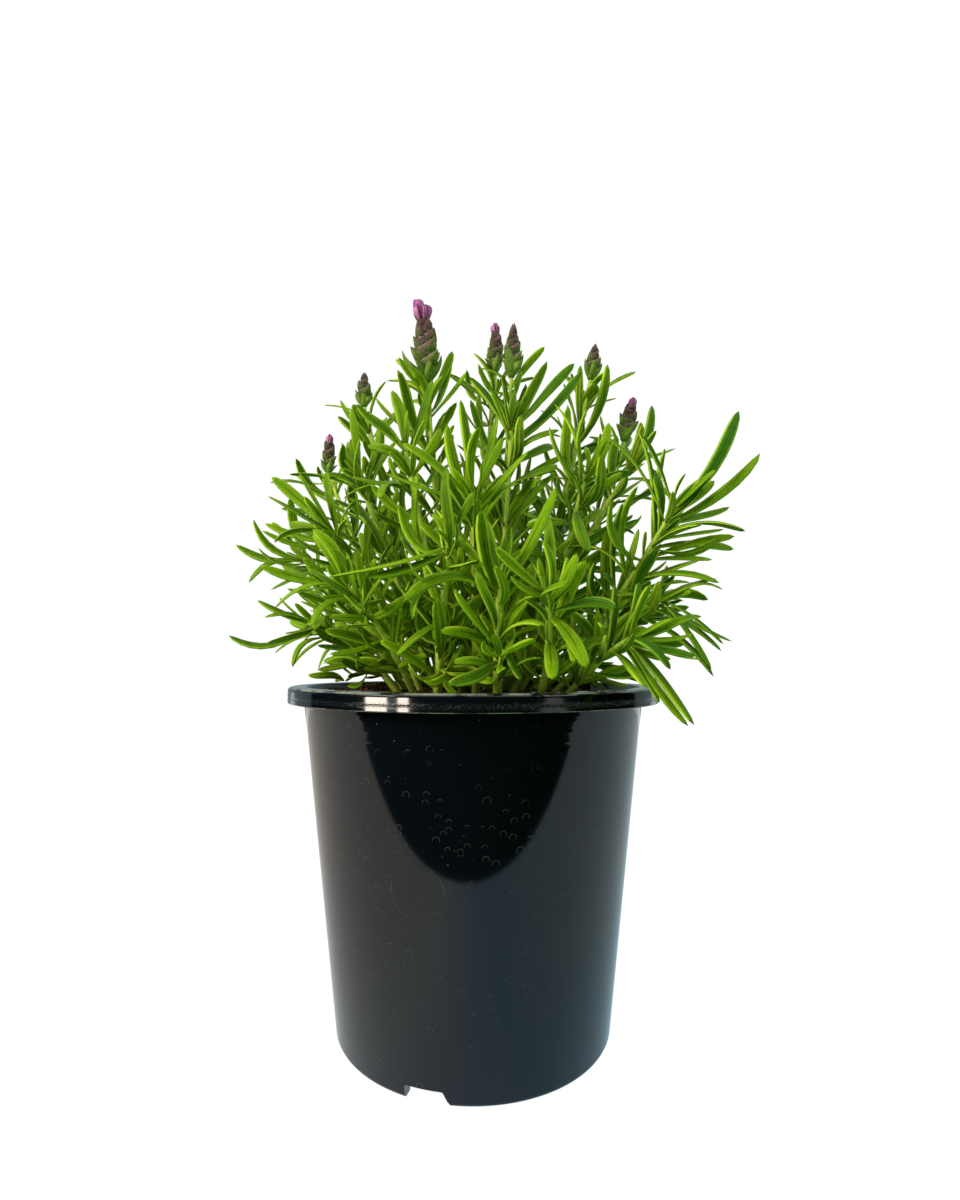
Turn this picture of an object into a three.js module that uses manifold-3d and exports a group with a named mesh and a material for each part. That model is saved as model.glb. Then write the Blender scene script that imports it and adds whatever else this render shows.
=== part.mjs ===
// A young lavender in bud, in a black nursery pot filled with potting soil.
// Millimetres, +Z up. The origin is on the ground under the middle of the pot.
// The side with the nearest whorl of leaves faces -Y.
import * as THREE from "three";
import { mergeVertices } from "three/addons/utils/BufferGeometryUtils.js";
import Module from "manifold-3d";

const wasm = await Module();
wasm.setup();

// Driving dimensions of the pot
const POT_HEIGHT = 125;
const RIM_RADIUS = 70;
const FOOT_RADIUS = 50.5;
const NECK_RADIUS = 64; // outside of the wall just under the rim
const WALL = 1.2;
const SKIRT_DEPTH = 5.7; // how far the rim hangs down outside the wall
const SKIRT_WALL = 1.3;
const RIM_ROUND = 1.3;
const FOOT_ROUND = 1.8;
const COLLAR_FOOT = 109; // the wall is a little thicker from here up, so that stacked pots come apart
const COLLAR_STEP = 0.3;
const FLOOR_UNDERSIDE = 4;
const FLOOR_TOP = 5.4;
const BOSS_RADIUS = 9; // flat moulding boss in the middle of the floor, level with the foot
const POT_SIDES = 30;
const FOOT_RING = 4.5; // width of the ring that the pot stands on
const LID = 1.6; // thickness of the rim's top
const LIP_BEVEL = 0.8;
const DRAIN_HOLES = 3;
const DRAIN_RADIUS = 4;
const DRAIN_CIRCLE = 36;
const NOTCHES = 3;
const NOTCH_WIDTH = 15;
const NOTCH_HEIGHT = 4.6;
const NOTCH_SLANT = 2.2; // how far its right side leans, up to the top
const FIRST_NOTCH = -106; // degrees from +X, a little left of the front

// Driving dimensions of the soil
const SOIL_TOP = 120.6;
const SOIL_MOUND = 1.6; // how much higher the soil is round the stems than at the wall
const SOIL_CRUMB = 1.4;
const SOIL_WAVES = [[0.31, 0.05, 1.3], [-0.09, 0.27, 0.4], [0.63, -0.51, 2.1]]; // along X, along Y, shift
const SOIL_RINGS = [20, 42];
const SOIL_SIDES = 20;
const FIT_GAP = 0.3; // between pieces that touch
const ROOTED = 10; // how deep the stems stand in the soil

// Driving dimensions of the plant
const STEM_FOOT_RADIUS = 1.5;
const STEM_TIP_RADIUS = 0.95;
const STEM_STEPS = 3;
const LEAF_LENGTH = 31;
const LEAF_THICKNESS = 0.95;
const LEAF_SLENDERNESS = 6.8; // length of a leaf over its width
const LONG_LEAF = 32; // a longer leaf is bent in four places, a shorter one in three
const LONG_LEAF_RINGS = [0, 0.3, 0.62, 0.9]; // shares of the length
const SHORT_LEAF_RINGS = [0, 0.4, 0.84];
const LEAF_FOOT = 0.22; // width at the root over the greatest width
const WIDEST = 0.66; // where the leaf is widest, as a share of its length
const BLUNTNESS = 2.4; // power of the curve that closes the tip: 2 is half an ellipse
const RIB_SHARE = 0.75; // how much of the thickness is the rib under the blade
const FREE_SHARE = 0.3; // past this share of its length a leaf stands free of its neighbours on the stem
const LIGHT_TURN = 0.6; // how far the blades turn to the light, against the way that their stem turns them
const LIGHT = [-0.1, -0.8, 0.6]; // where the light comes from
const OUTWARD = 0.5; // how far the blades of each side turn away from the middle of the plant
const CLEARANCE = 2.5; // between the edges and midribs of two leaves
const SAMPLE_STEP = 1.7;
const POT_CLEARANCE = 1.4; // between a leaf and the pot or the soil
const TOP_SHARE = 0.97; // how far up its stem the topmost set leaf grows, the next ones a little lower
const LEAF_DROP = 0.015;
const LOWEST_PAIR = 0.12; // share of a stem under its lowest pair of leaves

// Ranges that the leaves grown by rule are drawn from, in degrees, and as shares of their full length
const TURN = [-14, 14]; // off the square arrangement of the pairs
const OPENING = [26, 46]; // from the stem
const BEND = [-14, 34]; // outwards along the leaf
const LIFT = [-0.15, 0.3]; // upwards at the tip
const ROLL = [-30, 30];
const GROWN = [0.78, 1.05];
const MID_STEM_GAIN = 0.28; // how much longer the leaves are halfway up the stem

// The places tried for a leaf, in order: a swing round the stem, a change of opening and a share of length.
const SWINGS = [0, 12, -12, 24, -24, 36, -36, 48, -48];
const OPENINGS = [0, 9, -8];
const LENGTHS = [1, 0.82, 0.66];

// Set leaves move their tip a few millimetres, where they would touch what grew before.
const NUDGE = 2.5;
const NUDGES = [[0, 0, 0], [0, 0, 1], [0, 0, -1], [0, -1, 0], [1, 0, 0], [-1, 0, 0], [0, 1, 0],
  [0, -1, 1], [0, -1, -1], [1, 0, 1], [-1, 0, 1], [1, 0, -1], [-1, 0, -1], [0, 0, 2], [0, 0, -2],
  [0, -2, 0], [2, 0, 0], [-2, 0, 0], [0, 2, 0], [0, -2, 2], [2, -2, 0], [-2, -2, 0]];

// Heights and radii along the core of a spike, as shares of its length and radius.
const SPIKE_CORE = [[0, 0.3], [0.12, 0.56], [0.62, 0.56], [0.86, 0.42], [1, 0.26]];
const BRACT_LENGTH = 0.3; // share of the spike
const BRACT_THICKNESS = 0.9;
const BRACT_RINGS = [[0, 0.2, 0.15], [0.5, 0.76, 0.5]]; // rise, radius and half width, as shares
const BRACT_TIP = 0.8; // share of the spike's radius
const TIER_START = 0.02; // shares of the spike's length
const TIER_SPAN = 0.66;
const PETAL_WIDTH = 0.5; // share of the petal's length
const PETAL_TURNS = [30, 150, 270];
const COLLAR = [[0, 0.9], [1.2, 0.7]]; // heights and radii of the collar that the petals stand in

const SKINS = {
  pot: { color: 0x1d2125, roughness: 0.22, metalness: 0 },
  soil: { color: 0x3a2a1e, roughness: 0.95, metalness: 0 },
  leaf: { color: 0x5f8a2a, roughness: 0.6, metalness: 0 },
  bract: { color: 0x6b5a48, roughness: 0.7, metalness: 0 },
  petal: { color: 0xa845a8, roughness: 0.55, metalness: 0 },
};

// Leafy stems that show from the front. A route is the foot on the soil [x, y], the elbow and the tip.
// pairs is how many pairs of leaves grow by rule, and set holds the leaves whose place is given:
// the share of the stem that each grows at, its tip, its arch upwards and its width.
const SHOOTS = [
  {
    name: "shoot_front",
    route: [[8, -44], [7, -59, 134], [8, -60, 156]],
    pairs: 1,
    set: [
      [1, [25, -66, 186], -2, 4.6],
      [1, [2, -70, 178], -1, 3.6],
      [0.97, [-21, -66, 152], 5, 3.6],
      [0.97, [-14, -50, 182], -1, 3.2],
      [0.95, [11, -46, 176], 0, 3],
      [0.6, [20, -75, 145], 2, 4.4],
      [0.45, [-7, -75, 126], 4, 5],
      [0.5, [-9, -65, 138], 1, 3],
      [0.95, [17, -58, 162], 1, 3],
    ],
  },
  {
    name: "shoot_front_right",
    route: [[21, -42], [25, -58, 136], [22, -64, 154]],
    pairs: 1,
    set: [
      [1, [10, -75, 157], 1, 3.4],
      [1, [23, -56, 180], -2, 3],
      [1, [29, -72, 165], -1, 3],
      [0.85, [41, -73, 149], 2, 3],
      [0.8, [31, -79, 132], 3, 4],
      [0.6, [22, -75, 129], 2, 4],
    ],
  },
  {
    name: "shoot_front_left",
    route: [[-12, -38], [-10, -54, 138], [-8, -55, 170]],
    pairs: 2,
    set: [
      [1, [-31, -64, 158], 2, 4.2],
      [1, [-24, -48, 184], -1, 3],
      [1, [-10, -61, 194], -2, 3.4],
      [0.8, [-19, -66, 147], 2, 3],
      [0.6, [-23, -62, 136], 1, 3],
      [0.9, [4, -66, 163], 1, 3],
    ],
  },
  {
    name: "shoot_rim_right",
    route: [[30, -36], [37, -54, 134], [47, -60, 141]],
    pairs: 1,
    set: [
      [0.75, [46, -77, 125.5], 5, 4.6],
      [1, [61, -73, 116], 3, 3.6],
      [0.95, [58, -66, 131], 2, 3],
      [1, [53, -63, 155], -1, 3],
      [0.7, [44, -57, 158], -1, 3],
    ],
  },
  {
    name: "shoot_right_low",
    route: [[27, -22], [43, -37, 140], [62, -40, 155]],
    pairs: 2,
    set: [
      [0.95, [82, -46, 139], 3, 3],
      [0.8, [77, -50, 130], 3, 3.2],
      [1, [79, -36, 153], 1, 3],
      [1, [81, -46, 160], 1, 3.4],
      [1, [69, -30, 168], -1, 3],
    ],
  },
  {
    name: "shoot_right_outer",
    route: [[22, -14], [44, -30, 142], [66, -45, 184]],
    pairs: 3,
    set: [
      [1, [85, -54, 215], 0, 4.2],
      [1, [93, -52, 199], -3, 3.6],
      [1, [87, -38, 185], 1, 3],
      [0.9, [84, -58, 174], 4, 4],
      [0.85, [90, -36, 173], 2, 3],
      [0.7, [79, -50, 161], 2, 3],
      [1, [56, -44, 212], 3, 3.6],
      [0.95, [68, -30, 210], 0, 3],
      [0.8, [42, -54, 185], -1, 3.4],
    ],
  },
  {
    name: "shoot_right_mid",
    route: [[14, -18], [30, -30, 156], [39, -34, 199]],
    pairs: 3,
    set: [
      [1, [46, -40, 216], -1, 3],
      [1, [25, -42, 213], -1, 3.4],
      [1, [56, -32, 200], 1, 3.2],
      [1, [35, -26, 226], -1, 3.2],
      [0.85, [36, -56, 169], 1, 3.6],
      [0.8, [18, -54, 177], -1, 4],
      [0.7, [51, -48, 163], 2, 3.2],
    ],
  },
  {
    name: "shoot_right_high",
    route: [[12, -4], [33, -8, 166], [59, -16, 206]],
    pairs: 3,
    set: [
      [1, [70, -12, 234], -1, 3.2],
      [1, [76, -22, 192], 3, 3.2],
      [0.9, [57, -6, 232], 0, 3.4],
    ],
  },
  {
    name: "shoot_centre_right",
    route: [[4, -14], [12, -24, 168], [14, -22, 219]],
    pairs: 3,
    set: [
      [1, [-1, -24, 240], -1, 3.6],
      [1, [28, -20, 245], -1, 3.8],
      [0.95, [38, -22, 244], -2, 4.2],
      [1, [22, -4, 243], 0, 3.6],
      [0.85, [4, -46, 199], 2, 3.4],
      [0.8, [29, -40, 200], 1, 3.4],
    ],
  },
  {
    name: "shoot_centre_front",
    route: [[1, -26], [1, -42, 155], [0, -46, 187]],
    pairs: 3,
    set: [
      [1, [-22, -54, 204], 1, 3.6],
      [1, [-9, -44, 213], -1, 3.6],
      [1, [8, -50, 214], -1, 3.4],
      [0.95, [17, -56, 201], -1, 3.6],
    ],
  },
  {
    name: "shoot_centre_left",
    route: [[-7, -18], [-15, -30, 167], [-24, -34, 210]],
    pairs: 3,
    set: [
      [1, [-44, -38, 226], 1, 4],
      [1, [-29, -30, 232], -1, 3.4],
      [0.95, [-13, -38, 237], -1, 4.4],
      [0.85, [-40, -46, 193], 2, 3.4],
      [0.8, [-30, -54, 188], 1, 3.4],
    ],
  },
  {
    name: "shoot_left_high",
    route: [[-13, -6], [-29, -14, 166], [-43, -18, 204]],
    pairs: 3,
    set: [
      [1, [-61, -14, 219], 1, 3.4],
      [1, [-54, -20, 225], 0, 3.2],
      [0.95, [-44, -30, 224], -1, 3.2],
      [0.9, [-62, -26, 206], 1, 3.2],
      [0.95, [-35, -12, 230], -1, 3.2],
    ],
  },
  {
    name: "shoot_left_mid",
    route: [[-18, -16], [-32, -28, 158], [-48, -36, 179]],
    pairs: 3,
    set: [
      [1, [-70, -34, 198], 2, 3.4],
      [0.95, [-67, -48, 187], 2, 4],
      [1, [-52, -40, 203], -1, 3.2],
      [0.9, [-72, -34, 181], 1, 3],
      [0.8, [-58, -50, 172], 1, 3.2],
    ],
  },
  {
    name: "shoot_left_low",
    route: [[-20, -26], [-29, -42, 146], [-42, -48, 160]],
    pairs: 2,
    set: [
      [1, [-68, -50, 164], 1, 3.2],
      [0.95, [-62, -56, 154], 2, 3.2],
      [1, [-50, -54, 176], 0, 3.2],
      [0.8, [-50, -60, 146], 1, 3.4],
      [0.78, [-30, -62, 150], 1, 3],
    ],
  },
  {
    name: "shoot_left_outer",
    route: [[-25, -5], [-42, -6, 153], [-67, -6, 175]],
    pairs: 3,
    set: [
      [1, [-92, -6, 178], 1, 3.6],
      [1, [-86, -8, 187], 1, 3.2],
      [0.92, [-86, -12, 166], 1, 3.4],
      [0.8, [-64, 10, 168], 1, 3.2],
    ],
  },
  {
    name: "shoot_left_creep",
    route: [[-27, -10], [-41, -10, 141], [-64, -6, 149]],
    pairs: 2,
    set: [
      [1, [-93, -8, 142], -1, 3.8],
      [1, [-83, -8, 157], 1, 3],
      [0.92, [-72, -22, 139], 2, 4],
      [0.8, [-54, -28, 150], 1, 3.4],
    ],
  },
];

// Stems that carry a flower spike. The spike's size is its bracted length, its radius,
// its tiers of bracts and the length of the petals that show at its top, if any do.
const SPIKES = [
  {
    name: "1",
    route: [[-4, -6], [-14, -14, 173], [-17, -18, 239]],
    pairs: 5,
    set: [
      [0.9, [-29, -20, 249], 0, 3.6],
      [0.93, [-8, -24, 249], 0, 3.2],
      [0.8, [-26, -28, 240], -1, 3.8],
    ],
    lean: [-1.5, -2],
    spike: [24, 4.7, 5, 7.5],
  },
  {
    name: "2",
    route: [[0, 4], [3, 4, 176], [9, 6, 253]],
    pairs: 5,
    set: [[0.9, [2, 2, 262], 0, 3.2]],
    lean: [0.6, 0],
    spike: [18, 3.2, 4, 5],
  },
  {
    name: "3",
    route: [[7, -6], [11, -10, 174], [15, -9, 245]],
    pairs: 5,
    set: [],
    lean: [1, 0],
    spike: [21, 3.5, 4, 0],
  },
  {
    name: "4",
    route: [[11, 4], [33, 4, 176], [49, 6, 251]],
    pairs: 5,
    set: [
      [0.8, [54, -10, 250], 0, 5.4],
      [0.8, [39, 6, 250], 0, 3.6],
    ],
    lean: [2, 0],
    spike: [14, 3.6, 3, 0],
  },
  {
    name: "5",
    route: [[17, 0], [46, 2, 170], [62, 4, 224]],
    pairs: 4,
    set: [[0.85, [76, 8, 222], 1, 3.2]],
    lean: [3, 0],
    spike: [15, 3.7, 4, 4.5],
  },
  {
    name: "6",
    route: [[-10, 5], [-30, 8, 176], [-46, 10, 241]],
    pairs: 5,
    set: [[0.85, [-56, 6, 236], 0, 3.4]],
    lean: [0, 0],
    spike: [13.5, 3.5, 3, 0],
  },
  {
    name: "7",
    route: [[-21, 3], [-45, 20, 172], [-65, 30, 218]],
    pairs: 4,
    set: [],
    lean: [0, 0],
    spike: [15, 3.1, 3, 4],
  },
];

// Stems on the far side stand on a fan: how many, how wide the fan is, and their reach and height.
const BACK_SHOOTS = 10;
const BACK_FAN = [8, 172]; // degrees from +X
const BACK_FOOT = [22, 16]; // how far out the outer and the inner stems leave the soil
const BACK_REACH = [72, 46]; // of the outer and the inner stems
const BACK_HEIGHT = [158, 206];
const BACK_ELBOW = 0.55; // share of the reach and of the rise
const BACK_PAIRS = 5;

// A small seeded generator, so that the same plant grows every time.
function seeded(seed) {
  let state = seed;
  return (low, high) => {
    state = (state * 1664525 + 1013904223) % 4294967296;
    return low + ((high - low) * state) / 4294967296;
  };
}

const vec = (x, y, z) => new THREE.Vector3(x, y, z);
const radians = THREE.MathUtils.degToRad;

// A closed geometry as a solid for joining and cutting.
function solid(geometry) {
  const bare = geometry.clone();
  bare.deleteAttribute("normal");
  bare.deleteAttribute("uv");
  const merged = mergeVertices(bare, 1e-4);
  const mesh = new wasm.Mesh({
    numProp: 3,
    vertProperties: merged.attributes.position.array,
    triVerts: new Uint32Array(merged.index.array),
  });
  return new wasm.Manifold(mesh);
}

// A closed surface from points and triangles.
function surface(points, triangles) {
  const geometry = new THREE.BufferGeometry();
  geometry.setAttribute("position", new THREE.Float32BufferAttribute(points.flatMap((p) => p.toArray()), 3));
  geometry.setIndex(triangles.flat());
  return geometry;
}

// Joins rings of equal count into a closed skin, with a fan on the first ring and a point or fan at the end.
function skin(rings, point) {
  const count = rings[0].length;
  const points = rings.flat();
  const triangles = [];
  for (let side = 1; side + 1 < count; side++) triangles.push([0, side + 1, side]);
  for (let ring = 0; ring + 1 < rings.length; ring++) {
    for (let side = 0; side < count; side++) {
      const next = (side + 1) % count;
      const a = ring * count + side;
      const b = ring * count + next;
      triangles.push([a, b, b + count], [a, b + count, a + count]);
    }
  }
  const last = (rings.length - 1) * count;
  if (point) {
    points.push(point);
    for (let side = 0; side < count; side++) {
      triangles.push([last + side, last + ((side + 1) % count), points.length - 1]);
    }
  } else {
    for (let side = 1; side + 1 < count; side++) triangles.push([last, last + side, last + side + 1]);
  }
  return surface(points, triangles);
}

function named(name, made, look) {
  const mesh = made.getMesh();
  const geometry = new THREE.BufferGeometry();
  geometry.setAttribute("position", new THREE.BufferAttribute(mesh.vertProperties, 3));
  geometry.setIndex(new THREE.BufferAttribute(mesh.triVerts, 1));
  geometry.computeVertexNormals();
  const piece = new THREE.Mesh(geometry, new THREE.MeshStandardMaterial(SKINS[look]));
  piece.name = name;
  return piece;
}

const join = (solids) => wasm.Manifold.union(solids);

// A turned solid about the Z axis from a profile of [radius, height].
function turned(profile, sides) {
  const points = profile.map(([r, z]) => new THREE.Vector2(r, z));
  return solid(new THREE.LatheGeometry(points, sides).rotateX(Math.PI / 2));
}

function wallRadius(z) {
  return FOOT_RADIUS + ((NECK_RADIUS - FOOT_RADIUS) * z) / (POT_HEIGHT - SKIRT_DEPTH);
}

// Three points of a rounded corner round a [radius, height] centre, from one angle to another in degrees.
function corner(centre, radius, from, to) {
  return [0, 1, 2].map((step) => {
    const angle = radians(from + ((to - from) * step) / 2);
    return [centre[0] + radius * Math.cos(angle), centre[1] + radius * Math.sin(angle)];
  });
}

function makePot() {
  const skirtFoot = POT_HEIGHT - SKIRT_DEPTH;
  const lidUnderside = POT_HEIGHT - LID;
  const profile = [
    [0, 0],
    [BOSS_RADIUS, 0],
    [BOSS_RADIUS, FLOOR_UNDERSIDE],
    [FOOT_RADIUS - FOOT_RING, FLOOR_UNDERSIDE],
    [FOOT_RADIUS - FOOT_RING, 0],
    ...corner([FOOT_RADIUS - FOOT_ROUND, FOOT_ROUND], FOOT_ROUND, -90, 0),
    [wallRadius(COLLAR_FOOT), COLLAR_FOOT],
    [wallRadius(COLLAR_FOOT) + COLLAR_STEP, COLLAR_FOOT + 1],
    [NECK_RADIUS + COLLAR_STEP, lidUnderside],
    [RIM_RADIUS - SKIRT_WALL, lidUnderside],
    [RIM_RADIUS - SKIRT_WALL, skirtFoot],
    [RIM_RADIUS, skirtFoot],
    ...corner([RIM_RADIUS - RIM_ROUND, POT_HEIGHT - RIM_ROUND], RIM_ROUND, 0, 90),
    [wallRadius(POT_HEIGHT) - WALL + LIP_BEVEL, POT_HEIGHT],
    [wallRadius(POT_HEIGHT - LIP_BEVEL) - WALL, POT_HEIGHT - LIP_BEVEL],
    [wallRadius(FLOOR_TOP) - WALL, FLOOR_TOP],
    [0, FLOOR_TOP],
  ];
  let pot = turned(profile, POT_SIDES);
  for (let hole = 0; hole < DRAIN_HOLES; hole++) {
    const angle = (2 * Math.PI * (hole + 0.5)) / DRAIN_HOLES;
    const drill = new THREE.CylinderGeometry(DRAIN_RADIUS, DRAIN_RADIUS, 4 * FLOOR_TOP, 8);
    drill.rotateX(Math.PI / 2).translate(DRAIN_CIRCLE * Math.cos(angle), DRAIN_CIRCLE * Math.sin(angle), 0);
    pot = pot.subtract(solid(drill));
  }
  for (let notch = 0; notch < NOTCHES; notch++) {
    pot = pot.subtract(solid(notchCutter(radians(FIRST_NOTCH + (360 * notch) / NOTCHES))));
  }
  return named("pot", pot, "pot");
}

// The drainage gap in the foot: upright on its left side and slanted on its right.
function notchCutter(angle) {
  const half = NOTCH_WIDTH / 2;
  const outline = new THREE.Shape([
    new THREE.Vector2(-half, -NOTCH_HEIGHT),
    new THREE.Vector2(half + NOTCH_SLANT, -NOTCH_HEIGHT),
    new THREE.Vector2(half - NOTCH_SLANT, NOTCH_HEIGHT),
    new THREE.Vector2(-half, NOTCH_HEIGHT),
  ]);
  const cutter = new THREE.ExtrudeGeometry(outline, { depth: 4 * FOOT_RING, bevelEnabled: false });
  cutter.rotateX(Math.PI / 2).translate(0, -(FOOT_RADIUS - 2 * FOOT_RING), 0);
  return cutter.rotateZ(angle + Math.PI / 2);
}

// The soil's height at a place: a low mound, roughened by a sum of waves.
function soilHeight(x, y) {
  const share = Math.hypot(x, y) / NECK_RADIUS;
  const waves = SOIL_WAVES.map(([alongX, alongY, shift]) => Math.sin(alongX * x + alongY * y + shift));
  const crumbs = (SOIL_CRUMB * waves.reduce((sum, wave) => sum + wave, 0)) / waves.length;
  return SOIL_TOP + SOIL_MOUND * (1 - share * share) + crumbs;
}

function makeSoil(stems) {
  const foot = FLOOR_TOP + FIT_GAP;
  const topRadius = wallRadius(SOIL_TOP) - WALL - 2 * FIT_GAP;
  const ring = (radius, height) =>
    Array.from({ length: SOIL_SIDES }, (_, side) => {
      const angle = (2 * Math.PI * side) / SOIL_SIDES;
      const x = radius * Math.cos(angle);
      const y = radius * Math.sin(angle);
      return vec(x, y, height ?? soilHeight(x, y));
    });
  const rings = [ring(wallRadius(foot) - WALL - 2 * FIT_GAP, foot), ring(topRadius)];
  rings.push(...SOIL_RINGS.toReversed().map((radius) => ring(radius)));
  let soil = solid(skin(rings, vec(0, 0, soilHeight(0, 0))));
  for (const stem of stems) soil = soil.subtract(stemSolid(stem, 1.5 * FIT_GAP));
  return named("soil", soil, "soil");
}

// A smooth curve through a foot, an elbow that it bends towards, and a tip.
class Bend {
  constructor(foot, elbow, tip) {
    this.foot = foot;
    this.elbow = elbow;
    this.tip = tip;
  }

  at(share) {
    const rest = 1 - share;
    return vec(0, 0, 0)
      .addScaledVector(this.foot, rest * rest)
      .addScaledVector(this.elbow, 2 * rest * share)
      .addScaledVector(this.tip, share * share);
  }

  along(share) {
    return vec(0, 0, 0)
      .addScaledVector(this.elbow.clone().sub(this.foot), 1 - share)
      .addScaledVector(this.tip.clone().sub(this.elbow), share)
      .normalize();
  }
}

// The part of a direction that is square to an axis, one long.
function square(direction, axis) {
  return direction.clone().addScaledVector(axis, -direction.dot(axis)).normalize();
}

// A stem with a pair of directions across it, the first square to the way it leans.
class Stem extends Bend {
  across(share) {
    const along = this.along(share);
    const lean = this.tip.clone().sub(this.foot);
    const first = square(vec(-lean.y, lean.x, 0), along);
    return [first, along.clone().cross(first)];
  }

  radius(share) {
    return STEM_FOOT_RADIUS + (STEM_TIP_RADIUS - STEM_FOOT_RADIUS) * share;
  }
}

// A leaf as a bent strip: its root is in the middle of the stem, and its upper face looks up the stem.
class Leaf extends Bend {
  constructor(root, knee, tip, side, width) {
    super(root, knee, tip);
    this.side = side;
    this.width = width;
  }

  length() {
    return this.foot.distanceTo(this.elbow) + this.elbow.distanceTo(this.tip);
  }

  // Half the width: a narrow foot that widens to two thirds of the way, then a blunt point.
  half(share) {
    const grown = LEAF_FOOT + (1 - LEAF_FOOT) * Math.sin(Math.min(share / WIDEST, 1) * (Math.PI / 2));
    const beyond = Math.max(0, share - WIDEST) / (1 - WIDEST);
    const closing = Math.sqrt(Math.max(0, 1 - beyond ** BLUNTNESS));
    return 0.5 * this.width * grown * closing;
  }

  frame(share) {
    const along = this.along(share);
    const side = square(this.side, along);
    return { centre: this.at(share), side, up: along.clone().cross(side) };
  }

  ring(share) {
    const { centre, side, up } = this.frame(share);
    const half = this.half(share);
    const edge = centre.clone().addScaledVector(up, (1 - RIB_SHARE) * LEAF_THICKNESS);
    return [
      edge.clone().addScaledVector(side, half),
      edge.clone().addScaledVector(side, -half),
      centre.clone().addScaledVector(up, -RIB_SHARE * LEAF_THICKNESS),
    ];
  }

  blade() {
    const shares = this.length() > LONG_LEAF ? LONG_LEAF_RINGS : SHORT_LEAF_RINGS;
    return solid(skin(shares.map((share) => this.ring(share)), this.at(1)));
  }

  // Points on both edges and the midrib, with their share of the length.
  samples() {
    const steps = Math.ceil(this.length() / SAMPLE_STEP);
    const found = [];
    for (let step = 1; step <= steps; step++) {
      const share = step / steps;
      const { centre, side } = this.frame(share);
      for (const offset of [-1, 0, 1]) {
        found.push({ point: centre.clone().addScaledVector(side, offset * this.half(share)), share });
      }
    }
    return found;
  }
}

// Everything that has grown so far, as points in a grid of cells, so that a new leaf can keep clear of it.
class Crowd {
  constructor() {
    this.cells = new Map();
  }

  cell(point) {
    return [point.x, point.y, point.z].map((value) => Math.floor(value / CLEARANCE));
  }

  add(samples, owner) {
    for (const { point, share } of samples) {
      const key = this.cell(point).join();
      if (!this.cells.has(key)) this.cells.set(key, []);
      this.cells.get(key).push({ point, share, owner });
    }
  }

  isClear(samples, owner) {
    return samples.every(({ point, share }) => {
      const [i, j, k] = this.cell(point);
      for (const a of [i - 1, i, i + 1]) {
        for (const b of [j - 1, j, j + 1]) {
          for (const c of [k - 1, k, k + 1]) {
            for (const other of this.cells.get([a, b, c].join()) ?? []) {
              const joined = other.owner === owner && Math.min(share, other.share) < FREE_SHARE;
              if (!joined && other.point.distanceTo(point) < CLEARANCE) return false;
            }
          }
        }
      }
      return true;
    });
  }
}

// True where a point is in the soil, in the rim or in the wall of the pot.
function isInPot({ x, y, z }) {
  const radius = Math.hypot(x, y);
  if (radius > RIM_RADIUS + POT_CLEARANCE) return false;
  if (radius > wallRadius(SOIL_TOP) - WALL - POT_CLEARANCE) return z < POT_HEIGHT + POT_CLEARANCE;
  return z < SOIL_TOP + SOIL_MOUND + POT_CLEARANCE;
}

// A leaf that grows from a stem by rule, turned round the stem and opened from it in degrees.
function grownLeaf(stem, share, turn, opening, bend, lift, roll, length) {
  const along = stem.along(share);
  const [first, second] = stem.across(share);
  const out = vec(0, 0, 0)
    .addScaledVector(first, Math.cos(radians(turn)))
    .addScaledVector(second, Math.sin(radians(turn)));
  const towards = (angle) =>
    vec(0, 0, 0)
      .addScaledVector(along, Math.cos(radians(angle)))
      .addScaledVector(out, Math.sin(radians(angle)));
  const start = towards(opening);
  const end = towards(opening + bend).add(vec(0, 0, lift)).normalize();
  const root = stem.at(share);
  const knee = root.clone().addScaledVector(start, length / 2);
  const tip = knee.clone().addScaledVector(end, length / 2);
  return new Leaf(root, knee, tip, bladeSide(along, root, start, roll), length / LEAF_SLENDERNESS);
}

// The direction across a blade: its upper face looks up the stem and to the light, turned by its roll.
function bladeSide(along, root, start, roll) {
  const light = vec(root.x, root.y, 0).normalize().multiplyScalar(OUTWARD).add(vec(...LIGHT)).normalize();
  const side = light.multiplyScalar(LIGHT_TURN).addScaledVector(along, 1 - LIGHT_TURN).cross(start).normalize();
  return side.applyAxisAngle(start, radians(roll));
}

// A leaf whose tip is given.
function setLeaf(stem, share, [, tip, arch, width], nudge) {
  const root = stem.at(share);
  const end = vec(...tip).add(nudge);
  const knee = root.clone().add(end).multiplyScalar(0.5).add(vec(0, 0, 2 * arch));
  const start = end.clone().sub(root).normalize();
  return new Leaf(root, knee, end, bladeSide(stem.along(share), root, start, 0), width);
}

function growByRule(plant, crowd, draw) {
  const { stem, pairs, length } = plant;
  for (let pair = 0; pair < pairs; pair++) {
    const share = LOWEST_PAIR + ((1 - LOWEST_PAIR) * (pair + 0.5)) / pairs;
    for (const half of [0, 180]) {
      const turn = 45 + 90 * (pair % 2) + half + draw(...TURN);
      const opening = draw(...OPENING);
      const bend = draw(...BEND);
      const lift = draw(...LIFT);
      const roll = draw(...ROLL);
      const vigour = 1 - MID_STEM_GAIN + MID_STEM_GAIN * Math.sin(Math.PI * share);
      const full = length * draw(...GROWN) * vigour;
      const found = firstClear(crowd, plant.name, (swing, open, part) =>
        grownLeaf(stem, share, turn + swing, opening + open, bend, lift, roll, full * part),
      );
      if (found) plant.leaves.push(found);
    }
  }
}

function firstClear(crowd, owner, make) {
  for (const part of LENGTHS) {
    for (const open of OPENINGS) {
      for (const swing of SWINGS) {
        const leaf = make(swing, open, part);
        const samples = leaf.samples();
        if (samples.some(({ point }) => isInPot(point))) continue;
        if (!crowd.isClear(samples, owner)) continue;
        crowd.add(samples, owner);
        return leaf;
      }
    }
  }
  return null;
}

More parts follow.
